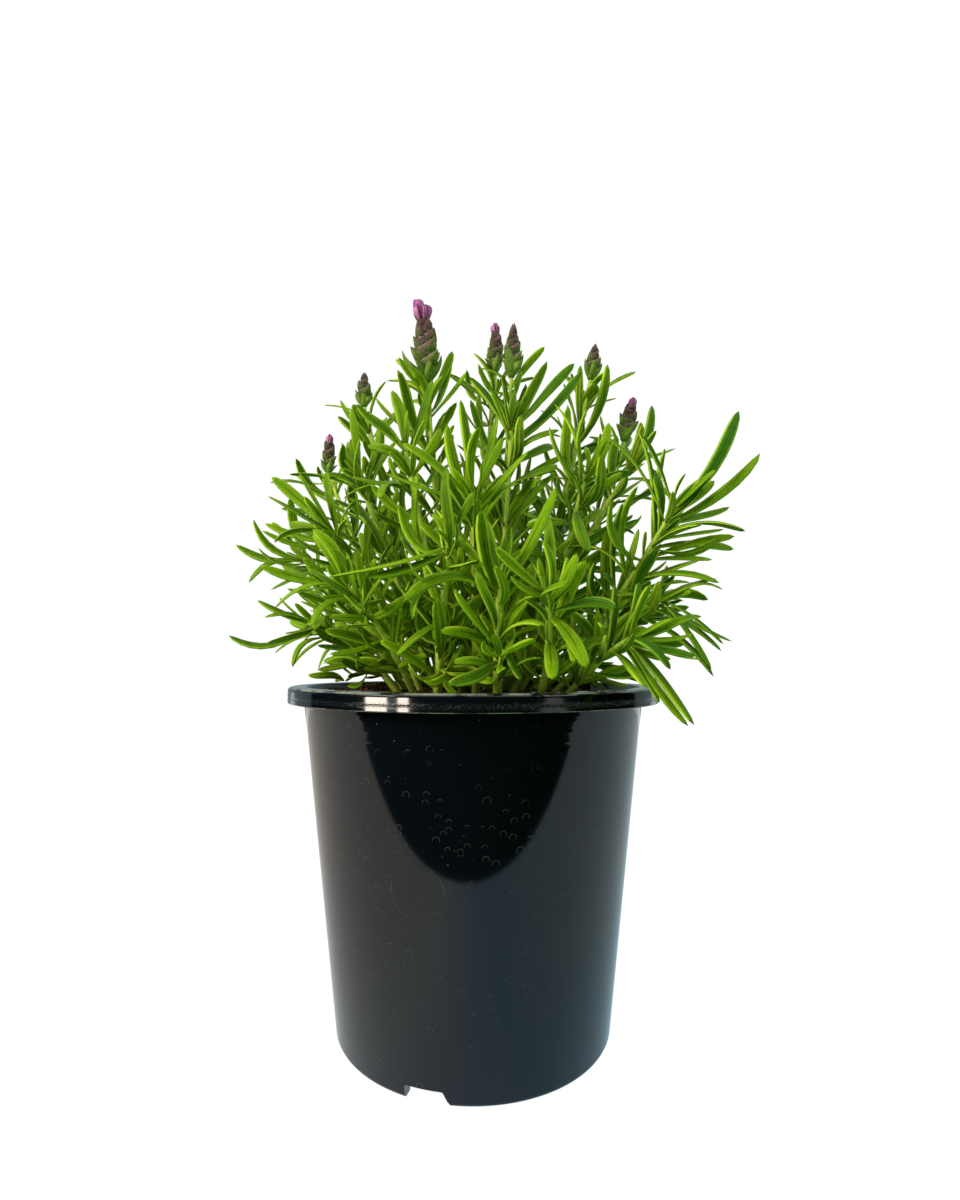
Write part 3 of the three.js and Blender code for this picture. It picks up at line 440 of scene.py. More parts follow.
# Petals: the turn, size and spread of each lobe, and how open each spike's are and which way they nod
PETAL_LOBES = [(205, 0.92, 0.82), (318, 0.8, 0.82), (90, 0.84, 0.7), (150, 0.86, 0.62), (10, 0.76, 0.75)]
PETAL_OPENING = {"1": 1.0, "2": 0.5, "5": 0.5, "7": 0.55}
PETAL_NOD = {"1": (-1.6, -0.6), "2": (-0.5, 0), "5": (0.6, 0), "7": (0.4, 0)}
PETAL_TWIST = (-0.5, 0.5)
PETAL_ROOT = (0.86, 0.12)
PETAL_HIDDEN = 0.14
PETAL_ELBOW = (0.55, 0.62)
PETAL_TOP = 0.3
PETAL_ELBOW_NOD = 0.6
PETAL_WIDTHS = (0.55, 0.45)
PETAL_THICKNESS = 0.5

# The wool on the bracts' margins
WOOL_DENSITY = 2.4e6
WOOL_LENGTH = 0.5
WOOL_RADIUS = 0.035
WOOL_MARGIN = 0.72
WOOL_LEAN = (0.9, 0.9, 3.0)

# The finer shape and the finish of the pot
EDGE_ROUND = 0.25
HELD_RUN = 0.9
HELD_INSET = 0.06
COLLAR_RISE = 7.0
COLLAR_PITCH = 0.3
COLLAR_START = 0.8
WALL_STEPS = 12
NOTCH_REACH = (42.0, 60.0)
SHARP_EDGE = 38.0
PLASTIC_ROUGHNESS = 0.05
# How pale the rim's worn edges are, which also paints glints on them
EDGE_WEAR_AND_GLINT = 0.45
DROP_PITCH = 3.2
DRIP_CENTRE = (7.0, -60.0, 86.0)
DRIP_REACH = 26.0
STAIN_CENTRE = (-17.0, -55.5, 65.0)
STAIN_RADIUS = 8.6

# The loose crumbs on the soil
CRUMB_DENSITY = 2.4e5
CRUMB_SIZE = 1.2
CRUMB_LEAST = (0.35, 0.3, 0.25)
CRUMB_MOST = (1.5, 0.8, 0.6)
CRUMB_TURN = 3.1
CRUMB_DEPTH = 3
CRUMB_SEED = 4
CRUMB_TONE_SEED = 7

# The studio
BOWL_RADIUS = 1600.0
BOWL_BEND = 700.0
BOWL_HEIGHT = 1300.0
BOWL_SIDES = 96
BOWL_RINGS = (300, 600)
STAGE_WHITE = 0.1
STAGE_GLOW = 0.97
# The room that the pot's gloss mirrors: where its floor turns dark, its size, and its colours
ROOM_EDGE = -170.0
ROOM_SLANT = -0.06
ROOM_LIFT = 0.5
ROOM_REACH = 900.0
ROOM_HEIGHT = 700.0
DARK_SIDE = 250.0
ROOM_SPAN = 200.0
ROOM_COLOURS = [
    (0.0, (0.76, 0.71, 0.65)), (0.4, (0.76, 0.8, 0.82)), (0.47, (0.6, 0.68, 0.8)), (0.52, (0.42, 0.62, 0.78)),
    (0.56, (0.38, 0.6, 0.75)), (0.8, (0.5, 0.67, 0.72)), (1.0, (0.56, 0.69, 0.72)),
]
ROOM_WALLS = (0.3, 0.39, 0.4)
AIR_ABOVE = (0.76, 0.9, 0.66)
AIR_BELOW = (0.18, 0.42, 0.05)
# Lamps: name, place, aim, size, power and colour
LIGHTS = [
    ("key_light", (-1080, -560, 600), (0, 0, 180), (600, 600), 16.8, (1.0, 0.94, 0.76)),
    ("fill_light", (900, -500, 900), (0, 0, 180), (600, 600), 2.0, (0.88, 1.0, 0.94)),
    ("back_light", (200, 1000, 900), (0, 0, 200), (800, 600), 3.0, (1.0, 1.0, 1.0)),
]
# Panes that the rim's gloss mirrors: name, direction from the rim, size and power
RIM_PANES = [
    ("rim_pane_1", (-0.84, -0.54, -0.05), (150, 70), 0.9),
    ("rim_pane_2", (-0.64, -0.77, -0.05), (70, 70), 0.42),
]
PANE_AIM = (-20, -66, 122)
PANE_DISTANCE = 600.0
PANE_COLOUR = (1.0, 0.86, 0.74)


def seeded(seed):
    """A small generator of numbers, so that the same plant grows every time."""
    state = seed

    def draw(low, high):
        nonlocal state
        state = (state * 1664525 + 1013904223) % 4294967296
        return low + (high - low) * state / 4294967296

    return draw


def unit(vector):
    return vector / np.linalg.norm(vector)


def square(direction, axis):
    """The part of a direction that is square to an axis, one long."""
    return unit(direction - axis * direction.dot(axis))


def turned_about(vector, axis, degrees):
    angle = math.radians(degrees)
    along = axis * axis.dot(vector) * (1 - math.cos(angle))
    return vector * math.cos(angle) + np.cross(axis, vector) * math.sin(angle) + along


def wall_radius(z):
    return FOOT_RADIUS + (NECK_RADIUS - FOOT_RADIUS) * z / SKIRT_FOOT


class Bend:
    """A smooth curve through a foot, an elbow that it bends towards, and a tip."""

    def __init__(self, foot, elbow, tip):
        self.foot, self.elbow, self.tip = (np.array(point, float) for point in (foot, elbow, tip))

    def at(self, share):
        rest = 1 - share
        return self.foot * rest * rest + self.elbow * 2 * rest * share + self.tip * share * share

    def along(self, share):
        return unit((self.elbow - self.foot) * (1 - share) + (self.tip - self.elbow) * share)


class Stem(Bend):
    def across(self, share):
        """Two directions across the stem, the first square to the way it leans."""
        along = self.along(share)
        lean = self.tip - self.foot
        first = square(np.array([-lean[1], lean[0], 0]), along)
        return first, np.cross(along, first)


class Leaf(Bend):
    """A blade along a curve: which way is across it, how wide and thick it is, and its tone, which is its
    freshness with painted shade added towards the right.
    """

    def __init__(self, foot, elbow, tip, side, width, thickness=BLADE_THICKNESS, tone=0.5):
        super().__init__(foot, elbow, tip)
        self.side = side
        self.width = width
        self.thickness = thickness
        self.tone = tone
        self.twist = 0
        self.sway = 0

    def length(self):
        return np.linalg.norm(self.foot - self.elbow) + np.linalg.norm(self.elbow - self.tip)

    def half(self, share):
        grown = LEAF_FOOT + (1 - LEAF_FOOT) * np.sin(np.minimum(share / WIDEST, 1) * math.pi / 2)
        beyond = np.maximum(0, share - WIDEST) / (1 - WIDEST)
        return 0.5 * self.width * grown * np.sqrt(np.maximum(0, 1 - beyond**BLUNTNESS))

    def samples(self):
        """Points on both edges and the midrib, and their shares of the length."""
        steps = math.ceil(self.length() / SAMPLE_STEP)
        shares = (np.arange(1, steps + 1) / steps)[:, None]
        centre = self.at(shares)
        along = (self.elbow - self.foot) * (1 - shares) + (self.tip - self.elbow) * shares
        along /= np.linalg.norm(along, axis=1)[:, None]
        side = self.side - along * (along @ self.side)[:, None]
        side /= np.linalg.norm(side, axis=1)[:, None]
        half = self.half(shares)
        points = np.concatenate([centre + side * half * offset for offset in (-1, 0, 1)])
        return points, np.tile(shares[:, 0], 3)


class Crowd:
    """Everything that has grown so far, as points, so that a new leaf can keep clear of it.

    Each leaf or stem is a group of points in a box, and only the groups whose boxes are near are compared.
    """

    def __init__(self):
        self.groups = []
        self.lows = np.zeros((0, 3))
        self.highs = np.zeros((0, 3))

    def add(self, points, shares, owner):
        self.groups.append((points, shares, np.full(len(points), owner)))
        self.lows = np.concatenate([self.lows, points.min(0)[None]])
        self.highs = np.concatenate([self.highs, points.max(0)[None]])

    def is_clear(self, points, shares, owner, clearance=CLEARANCE):
        low = points.min(0) - clearance
        high = points.max(0) + clearance
        near = np.flatnonzero(((self.highs > low) & (self.lows < high)).all(1))
        if not len(near):
            return True
        groups = [self.groups[index] for index in near]
        others, other_shares, owners = (np.concatenate(part) for part in zip(*groups))
        close = ((others > low) & (others < high)).all(1)
        others, other_shares, owners = others[close], other_shares[close], owners[close]
        gaps = points[:, None] - others[None]
        touching = (gaps * gaps).sum(2) < clearance * clearance
        rows, columns = np.nonzero(touching)
        at_root = np.minimum(shares[rows], other_shares[columns]) < FREE_SHARE
        joined = (owners[columns] == owner) & at_root
        return bool(joined.all())


def is_in_pot(points):
    """True where any of the points is in the soil, in the rim or in the wall of the pot."""
    radius = np.hypot(points[:, 0], points[:, 1])
    over_soil = points[:, 2] >= SOIL_TOP + SOIL_MOUND + POT_CLEARANCE
    over_rim = points[:, 2] >= POT_HEIGHT + POT_CLEARANCE
    at_wall = radius > wall_radius(SOIL_TOP) - WALL - POT_CLEARANCE
    clear = np.where(at_wall, over_rim, over_soil) | (radius > RIM_RADIUS + POT_CLEARANCE)
    return not clear.all()


def is_in_clearing(points):
    """True where any of the points is where the photograph shows bare soil or sky between the stems."""
    for low, high in CLEARINGS:
        if ((points > low) & (points < high)).all(1).any():
            return True
    return False


def blade_side(along, root, start, roll):
    """The direction across a blade: its upper face looks up the stem and to the light, turned by its roll."""
    light = unit(unit(np.array([root[0], root[1], 0])) * OUTWARD + LIGHT)
    side = unit(np.cross(along * (1 - LIGHT_TURN) + light * LIGHT_TURN, start))
    return turned_about(side, start, roll)


def grown_leaf(stem, share, turn, opening, bend, lift, roll, length):
    """A leaf that grows from a stem by rule, turned round the stem and opened from it in degrees."""
    along = stem.along(share)
    first, second = stem.across(share)
    out = first * math.cos(math.radians(turn)) + second * math.sin(math.radians(turn))

    def towards(angle):
        return along * math.cos(math.radians(angle)) + out * math.sin(math.radians(angle))

    start = towards(opening)
    end = unit(towards(opening + bend) + np.array([0, 0, lift]))
    root = stem.at(share)
    knee = root + start * length / 2
    side = blade_side(along, root, start, roll)
    return Leaf(root, knee, knee + end * length / 2, side, length / LEAF_SLENDERNESS)


def set_leaf(stem, share, data, nudge):
    """A leaf whose tip is given."""
    tip, arch, width = data[1:4]
    root = stem.at(share)
    end = np.array(tip, float) + nudge
    knee = (root + end) / 2 + np.array([0, 0, 2 * arch])
    side = blade_side(stem.along(share), root, unit(end - root), 0)
    return Leaf(root, knee, end, side, width)


def drawn_bends(draw):
    """How a leaf bends, lifts and rolls."""
    return draw(*BEND), draw(*LIFT), draw(*ROLL)


class Plant:
    """One stem with its leaves, and its flower spike if it carries one."""

    def __init__(self, index, data):
        foot, elbow, tip = data["route"]
        self.index = index
        self.name = data["name"]
        self.stem = Stem([foot[0], foot[1], SOIL_TOP], elbow, tip)
        self.pairs = data["pairs"]
        self.set = data["set"]
        self.leaves = []
        self.young = []
        self.spike = Spike(self.stem, data["lean"], data["spike"]) if "spike" in data else None

    def has_room(self, crowd, leaf, clearance=CLEARANCE):
        """True where a leaf keeps clear of the pot and of all that has grown, and then it joins that."""
        points, shares = leaf.samples()
        if is_in_pot(points) or not crowd.is_clear(points, shares, self.index, clearance):
            return False
        crowd.add(points, shares, self.index)
        return True

    def first_clear(self, crowd, clearance, tries, place, opening, bends, length):
        """The first leaf by rule that has room, of several lengths, openings and turns, or nothing."""
        stem, share, turn = place
        for part, wider, swing in tries:
            leaf = grown_leaf(stem, share, turn + swing, opening + wider, *bends, length * part)
            if clearance < CLEARANCE and is_in_clearing(leaf.samples()[0]):
                continue
            if self.has_room(crowd, leaf, clearance):
                return leaf
        return None

    def grow_set_leaves(self, crowd):
        for number, data in enumerate(self.set):
            share = min(data[0], TOP_SHARE - LEAF_DROP * number)
            for way in NUDGES:
                leaf = set_leaf(self.stem, share, data, np.array(way) * NUDGE)
                if self.has_room(crowd, leaf):
                    self.leaves.append(leaf)
                    break

    def grow_by_rule(self, crowd, draw):
        for pair in range(self.pairs):
            share = LOWEST_PAIR + (1 - LOWEST_PAIR) * (pair + 0.5) / self.pairs
            for half in (0, 180):
                turn = 45 + 90 * (pair % 2) + half + draw(*TURN)
                opening = draw(*OPENING)
                bends = drawn_bends(draw)
                vigour = 1 - MID_STEM_GAIN + MID_STEM_GAIN * math.sin(math.pi * share)
                length = LEAF_LENGTH * draw(*GROWN) * vigour
                place = (self.stem, share, turn)
                found = self.first_clear(crowd, CLEARANCE, ALL_TRIES, place, opening, bends, length)
                if found:
                    self.leaves.append(found)

    def grow_added_leaves(self, crowd):
        for data in ADDED_LEAVES.get(self.name, []):
            for way in ADDED_NUDGES:
                leaf = set_leaf(self.stem, data[0], data, np.array(way) * ADDED_NUDGE)
                if self.has_room(crowd, leaf, ADDED_CLEARANCE):
                    self.young.append(leaf)
                    break

    def fill(self, crowd, draw):
        """Grows the leaves that the solids leave out."""
        reach = np.linalg.norm(self.stem.tip - self.stem.foot)
        steps = int(reach * (1 - LOWEST_PAIR) / BETWEEN_STEP)
        buds = []
        for step in range(steps):
            share = LOWEST_PAIR + (1 - LOWEST_PAIR) * (step + 0.5) / steps
            for half in (0, 180):
                turn = 90 * (step % 2) + half + draw(*TURN)
                buds.append((share, turn, draw(*BETWEEN_OPENING), draw(*BETWEEN_LENGTH)))
        for leaf in list(self.leaves):
            for _ in range(AXIL_LEAVES):
                share = self.share_of(leaf)
                turn = self.turn_of(leaf, share) + draw(*AXIL_TURN)
                buds.append((share, turn, draw(*AXIL_OPENING), draw(*AXIL_LENGTH)))
        if not self.spike:
            for number in range(TIP_LEAVES):
                buds.append((1, GOLDEN_TURN * number, draw(*TIP_OPENING), draw(*TIP_LENGTH)))
        for share, turn, opening, length in buds:
            place = (self.stem, share, turn)
            bends = drawn_bends(draw)
            found = self.first_clear(crowd, FILL_CLEARANCE, FILL_TRIES, place, opening, bends, length)
            self.grow_young(found)

    def grow_young(self, leaf):
        if leaf:
            leaf.thickness = YOUNG_THICKNESS
            self.young.append(leaf)

    def grow_sprigs(self, crowd, draw):
        """Short side shoots in the lower part, each a thin stalk with a few pairs of small leaves."""
        for number in range(SPRIGS):
            share = LOWEST_SPRIG + (HIGHEST_SPRIG - LOWEST_SPRIG) * number / (SPRIGS - 1)
            turn = GOLDEN_TURN * number + draw(*TURN)
            length = draw(*SPRIG_LENGTH)
            opening = draw(*SPRIG_OPENING)
            stalk = grown_leaf(self.stem, share, turn, opening, draw(*BEND), SPRIG_LIFT, 0, length)
            stalk.width = stalk.thickness = SPRIG_WIDTH
            if self.has_room(crowd, stalk, SPRIG_CLEARANCE):
                self.young.append(stalk)
                self.grow_sprig_leaves(crowd, draw, Stem(stalk.foot, stalk.elbow, stalk.tip))

    def grow_sprig_leaves(self, crowd, draw, axis):
        for pair in range(SPRIG_PAIRS):
            for half in (0, 180):
                place = (axis, (pair + 1) / SPRIG_PAIRS, 90 * (pair % 2) + half + draw(*TURN))
                opening = draw(*SPRIG_LEAF_OPENING)
                bends = drawn_bends(draw)
                length = draw(*SPRIG_LEAF_LENGTH)
                found = self.first_clear(crowd, SPRIG_CLEARANCE, FILL_TRIES, place, opening, bends, length)
                if found:
                    found.width = found.length() / SPRIG_SLENDERNESS
                self.grow_young(found)

    def share_of(self, leaf):
        """Where on the stem a leaf is rooted."""
        shares = np.linspace(0, 1, SHARE_STEPS + 1)[:, None]
        gaps = np.linalg.norm(self.stem.at(shares) - leaf.foot, axis=1)
        return float(shares[gaps.argmin(), 0])

    def turn_of(self, leaf, share):
        """Which way from the stem a leaf points, in degrees round it."""
        first, second = self.stem.across(share)
        out = leaf.tip - leaf.foot
        return math.degrees(math.atan2(out.dot(second), out.dot(first)))

    def finish_leaves(self, draw):
        """Gives every leaf its own twist, sway and freshness, and lowers the tone towards the right as
        painted shade.
        """
        for leaf in self.leaves + self.young:
            leaf.twist = draw(*TWIST)
            leaf.sway = draw(*SWAY)
            up = (leaf.tip[2] - SOIL_TOP) / TALLEST_LEAF
            aside = leaf.tip[0] / RIM_RADIUS
            # The tone also drops towards the right: painted shade.
            tone = LEAST_TONE + TONE_SPREAD * draw(0, 1) + TONE_RISE * up - SHADED_SIDE * aside
            leaf.tone = min(max(tone, 0), 1)
        for leaf in self.young:
            leaf.tone = min(leaf.tone + YOUNG_TONE, 1)
        for leaf in self.leaves:
            leaf.width = max(leaf.width, min(leaf.width * LEAF_BROADENING, BROAD_LEAF))


class Spike:
    """A flower spike on its stem: the axis that its bracts stand round."""

    def __init__(self, stem, lean, sizes):
        self.length, self.radius, self.petals = sizes
        self.axis = unit(np.array([lean[0], lean[1], self.length], float))
        self.foot = stem.tip + self.axis * SEAT_GAPS * FIT_GAP
        self.first = square(np.array([1.0, 0, 0]), self.axis)
        self.second = np.cross(self.axis, self.first)

    def out(self, turn):
        return self.first * math.cos(math.radians(turn)) + self.second * math.sin(math.radians(turn))

    def at(self, height, radius, turn):
        return self.foot + self.axis * height + self.out(turn) * radius

    def samples(self):
        heights = np.arange(0, self.length + (self.petals or BARE_TOP), SPIKE_SAMPLES_STEP * CLEARANCE)
        radius = SPIKE_SAMPLES_OUT * self.radius
        points = [self.at(height, radius, turn) for height in heights for turn in range(0, 360, 60)]
        return np.array(points), np.zeros(len(points))


def back_shoots():
    """The stems of the far side, outer and inner ones in turn on a fan."""
    for index in range(BACK_SHOOTS):
        inner = index % 2
        angle = math.radians(BACK_FAN[0] + (BACK_FAN[1] - BACK_FAN[0]) * index / (BACK_SHOOTS - 1))
        reach = BACK_REACH[inner]
        height = BACK_HEIGHT[inner]
        elbow_height = SOIL_TOP + BACK_ELBOW * (height - SOIL_TOP)

        def toward(radius, z):
            return [radius * math.cos(angle), radius * math.sin(angle), z]

        foot = toward(BACK_FOOT[inner], 0)[:2]
        route = [foot, toward(BACK_ELBOW * reach, elbow_height), toward(reach, height)]
        yield {"name": f"shoot_back_{index + 1}", "route": route, "pairs": BACK_PAIRS, "set": []}


def grow_plants():
    """All the stems with their leaves, grown in the same order as the solids and then filled."""
    spiked = [{**spike, "name": "shoot_spike_" + spike["name"]} for spike in SPIKES]
    plants = [Plant(index, data) for index, data in enumerate([*SHOOTS, *spiked, *back_shoots()])]
    crowd = Crowd()
    for plant in plants:
        shares = np.arange(STEM_SAMPLES)[:, None] / (STEM_SAMPLES - 1)
        crowd.add(plant.stem.at(shares), np.zeros(STEM_SAMPLES), plant.index)
        if plant.spike:
            crowd.add(*plant.spike.samples(), plant.index)
    for plant in plants:
        plant.grow_set_leaves(crowd)
    for plant in plants:
        plant.grow_by_rule(crowd, seeded(plant.index + RULE_SEED))
    for plant in plants:
        plant.grow_added_leaves(crowd)
    for plant in plants:
        plant.fill(crowd, seeded(plant.index + FILL_SEED))
    for plant in plants:
        plant.grow_sprigs(crowd, seeded(plant.index + SPRIG_SEED))
    for plant in plants:
        plant.finish_leaves(seeded(plant.index + FINISH_SEED))
    spikes = [plant.spike for plant in plants if plant.spike]
    for plant in plants:
        plant.leaves = all_spared(plant.leaves, spikes)
        plant.young = all_spared(plant.young, spikes)
    return plants


def all_spared(leaves, spikes):
    return [kept for kept in (spared(leaf, spikes) for leaf in leaves) if kept]


def seen_at(points):
    """Where points are seen from the camera, as slopes to the right and up, and how far off they are."""
    depth = points[:, 1:2] + CAMERA_BACK
    return np.concatenate([points[:, 0:1], points[:, 2:3] - CAMERA_HEIGHT], axis=1) / depth, depth[:, 0]


def hides(leaf, spikes):
    """True where a leaf stands before the upper part of a flower spike."""
    spots, depths = seen_at(leaf.samples()[0])
    for spike in spikes:
        heights = np.linspace(SHOWN_FROM, SHOWN_TO, SHOWN_STEPS) * spike.length
        axis, axis_depths = seen_at(np.array([spike.at(height, 0, 0) for height in heights]))
        gaps = np.linalg.norm(spots[:, None] - axis[None], axis=2) * axis_depths
        before = depths[:, None] < axis_depths + spike.radius
        if ((gaps < spike.radius + SHOWN_MARGIN) & before).any():
            return True
    return False


def spared(leaf, spikes):
    """A leaf, cut down in size until it leaves spikes and clearings free, or nothing where that fails."""
    for size in SPARED_SIZES:
        shorter = copy.copy(leaf)
        shorter.elbow = leaf.foot + (leaf.elbow - leaf.foot) * size
        shorter.tip = leaf.foot + (leaf.tip - leaf.foot) * size
        if not hides(shorter, spikes) and not is_in_clearing(shorter.samples()[0]):
            return shorter
    return None


class Wire:
    """The output of a node. Arithmetic on it adds Math nodes, or Vector Math nodes for vectors."""

    def __init__(self, nodes, socket):
        self.nodes = nodes
        self.socket = socket

    def __add__(self, other):
        return self.nodes.maths("ADD", self, other)

    __radd__ = __add__

    def __sub__(self, other):
        return self.nodes.maths("SUBTRACT", self, other)

    def __rsub__(self, other):
        return self.nodes.maths("SUBTRACT", other, self)

    def __mul__(self, other):
        return self.nodes.maths("MULTIPLY", self, other)

    __rmul__ = __mul__

    def __truediv__(self, other):
        return self.nodes.maths("DIVIDE", self, other)

    def __rtruediv__(self, other):
        return self.nodes.maths("DIVIDE", other, self)

    def __pow__(self, other):
        return self.nodes.maths("POWER", self, other)


def is_vector(value):
    return value.socket.type == "VECTOR" if isinstance(value, Wire) else isinstance(value, (tuple, list))


class Nodes:
    """The nodes of one tree. A node is added by its type, its settings and what goes into its sockets."""

    def __init__(self, tree):
        self.tree = tree

    def add(self, kind, settings=None, sockets=None):
        node = self.tree.nodes.new(kind)
        for name, value in (settings or {}).items():
            if name == "stops":
                self.set_stops(node.color_ramp, value)
            else:
                setattr(node, name, value)
        for key, value in (sockets or {}).items():
            self.feed(node.inputs[key], value)
        return node

    def set_stops(self, ramp, stops):
        while len(ramp.elements) < len(stops):
            ramp.elements.new(1)
        for element, (position, colour) in zip(ramp.elements, stops):
            element.position = position
            element.color = (*colour, 1)

    def feed(self, socket, value):
        if isinstance(value, Wire):
            self.tree.links.new(value.socket, socket)
        elif socket.type == "RGBA":
            socket.default_value = (*value, 1)
        else:
            socket.default_value = value

    def wire(self, kind, settings=None, sockets=None, out=0):
        return Wire(self, self.add(kind, settings, sockets).outputs[out])

    def maths(self, operation, *values):
        vectors = [is_vector(value) for value in values]
        if not any(vectors):
            return self.wire("ShaderNodeMath", {"operation": operation}, dict(enumerate(values)))
        if operation == "MULTIPLY" and not all(vectors):
            vector, scale = values if vectors[0] else values[::-1]
            sockets = {0: vector, "Scale": scale}
            return self.wire("ShaderNodeVectorMath", {"operation": "SCALE"}, sockets)
        out = 1 if operation in ("DOT_PRODUCT", "LENGTH") else 0
        return self.wire("ShaderNodeVectorMath", {"operation": operation}, dict(enumerate(values)), out)

    def parts(self, vector):
        node = self.add("ShaderNodeSeparateXYZ", None, {0: vector})
        return [Wire(self, socket) for socket in node.outputs]

    def vector(self, x, y, z):
        return self.wire("ShaderNodeCombineXYZ", None, {0: x, 1: y, 2: z})

    def spread(self, value, low, high, start=0.0, end=1.0):
        """A value's place between low and high, eased, as a value from start to end."""
        settings = {"interpolation_type": "SMOOTHSTEP"}
        sockets = {"Value": value, "From Min": low, "From Max": high, "To Min": start, "To Max": end}
        return self.wire("ShaderNodeMapRange", settings, sockets)

    def mix(self, factor, first, second):
        return self.wire("ShaderNodeMix", {"data_type": "RGBA"}, {0: factor, 6: first, 7: second}, 2)

    def noise(self, place, scale, detail=2.0, roughness=0.5):
        sockets = {"Vector": place, "Scale": scale, "Detail": detail, "Roughness": roughness}
        return self.wire("ShaderNodeTexNoise", None, sockets)

    def cells(self, place, scale):
        """Scattered cells: how far the middle of one is, a colour drawn for it, and where its middle is."""
        settings = {"feature": "F1", "distance": "EUCLIDEAN"}
        sockets = {"Vector": place, "Scale": scale, "Randomness": 1.0}
        node = self.add("ShaderNodeTexVoronoi", settings, sockets)
        return [Wire(self, node.outputs[name]) for name in ("Distance", "Color", "Position")]

    def place(self):
        """Where a point lies in the object, in millimetres."""
        return self.wire("ShaderNodeTexCoord", None, None, "Object") * (1 / MM)

    def attribute(self, name, out="Fac"):
        return self.wire("ShaderNodeAttribute", {"attribute_name": name}, None, out)

    def bump(self, height, strength, distance):
        sockets = {"Height": height, "Strength": strength, "Distance": distance}
        return self.wire("ShaderNodeBump", None, sockets)

    def paint(self, colour, *coats):
        """A colour with coats over it, each a share from 0 to 1 and the code of its paint."""
        for share, code in coats:
            colour = self.mix(share, colour, tint(code))
        return colour


def linear(value):
    """The amount of light that a screen gives for a value, both from 0 to 1."""
    return value / 12.92 if value <= 0.04045 else ((value + 0.055) / 1.055) ** 2.4


def tint(code):
    """A colour written as in a paint list, for a shader."""
    return tuple(linear(int(code[place:place + 2], 16) / 255) for place in (1, 3, 5))


def new_material(name):
    """A material with a Principled shader: the material, its nodes and the shader."""
    material = bpy.data.materials.new(name)
    material.use_nodes = True
    nodes = Nodes(material.node_tree)
    return material, nodes, material.node_tree.nodes["Principled BSDF"]


def set_sockets(nodes, shader, values):
    for name, value in values.items():
        nodes.feed(shader.inputs[name], value)


def sheen(weight, roughness, code):
    return {"Sheen Weight": weight, "Sheen Roughness": roughness, "Sheen Tint": tint(code)}


def leaf_material():
    """Lavender leaf: a midrib sunken above with painted shade in its groove, raised and pale beneath, pale
    rolled margins that are partly painted highlight, fine veins, and painted shade higher up and towards the
    right.
    """
    material, nodes, shader = new_material("lavender_leaf")
    across, face, share = nodes.parts(nodes.attribute("section", "Vector"))
    tone = nodes.attribute("tone")
    place = nodes.place()
    off_middle = nodes.maths("ABSOLUTE", across)
    upper = nodes.spread(face, -0.35, 0.35)
    mottle = nodes.noise(place, 0.3, 3.0)
    x, _, z = nodes.parts(place)
    # Painted shade: the leaf colour darkens from 150 to 240 mm up. The lightness mixed below combines
    # freshness with this painted shade and with the tone's painted shade towards the right.
    painted_shade_above = nodes.spread(z, 150.0, 240.0) * PAINTED_SHADE_ABOVE
    freshness_and_painted_shade = nodes.spread(tone + mottle * 0.5 + share * 0.25 - painted_shade_above, 0.3, 1.35)
    top = nodes.mix(freshness_and_painted_shade, tint("#1e4a02"), tint("#88ac08"))
    under = nodes.mix(freshness_and_painted_shade, tint("#2f5c0c"), tint("#8ba422"))
    # Painted shade: leaves drawn at random get a cooler green, weighted towards the right, the side away from
    # the key light.
    shaded_right_side = nodes.spread(x, -40.0, 50.0, 0.1, 1.0)
    cool_tone_and_painted_shade = nodes.spread(nodes.maths("FRACT", tone * 7.3), 0.5, 0.9) * shaded_right_side
    speck = nodes.spread(nodes.noise(place, 2.4, 4.0, 0.7), 0.4, 0.62)
    # Painted shade: the sunken midrib is darker on the upper face. Beneath, it is paler.
    midrib = nodes.spread(off_middle, 0.22, 0.04) * nodes.spread(share, 1.0, 0.6)
    # Pale rolled margins: partly the leaf's own colour and partly a painted highlight where the edges catch
    # the light.
    margin = nodes.spread(off_middle, 0.6, 0.84)
    foot = nodes.spread(share, 0.2, 0.0)
    off_scar = nodes.maths("LENGTH", (place - SCAR) * (1.0, 1.0, 2.4)) + mottle * 2.0
    scar = nodes.spread(off_scar, 3.6, 2.6)
    colour = nodes.paint(nodes.mix(upper, under, top), (cool_tone_and_painted_shade * 0.8, "#2f6a1c"), (speck * 0.35, "#1f4402"))
    colour = nodes.mix(midrib * 0.65, colour, nodes.mix(upper, tint("#b4ca5a"), tint("#1b3e02")))
    colour = nodes.paint(colour, (margin * 0.75, "#c0dc40"), (foot * 0.7, "#a7b534"))
    colour = nodes.paint(colour, (scar * 0.85, "#9c6a44"))
    veins = nodes.noise(nodes.vector(across * 5.0, face, share * 40.0 + tone * 40.0), 1.6, 3.0)
    quilt = nodes.noise(place, 2.1, 3.0)
    height = veins * 0.4 + quilt * 0.7 - midrib * upper * 0.7
    set_sockets(nodes, shader, {
        "Base Color": colour, "Roughness": nodes.maths("MULTIPLY_ADD", quilt, 0.2, 0.5),
        "Normal": nodes.bump(height, 0.4, 0.4 * MM),
        "Specular IOR Level": 0.24, "Specular Tint": tint("#cfe860"),
        "Subsurface Weight": LEAF_GLOW, "Subsurface Radius": (0.5, 1.0, 0.05), "Subsurface Scale": 0.6 * MM,
        **sheen(0.04, 0.5, "#cfe870"),
    })
    return material


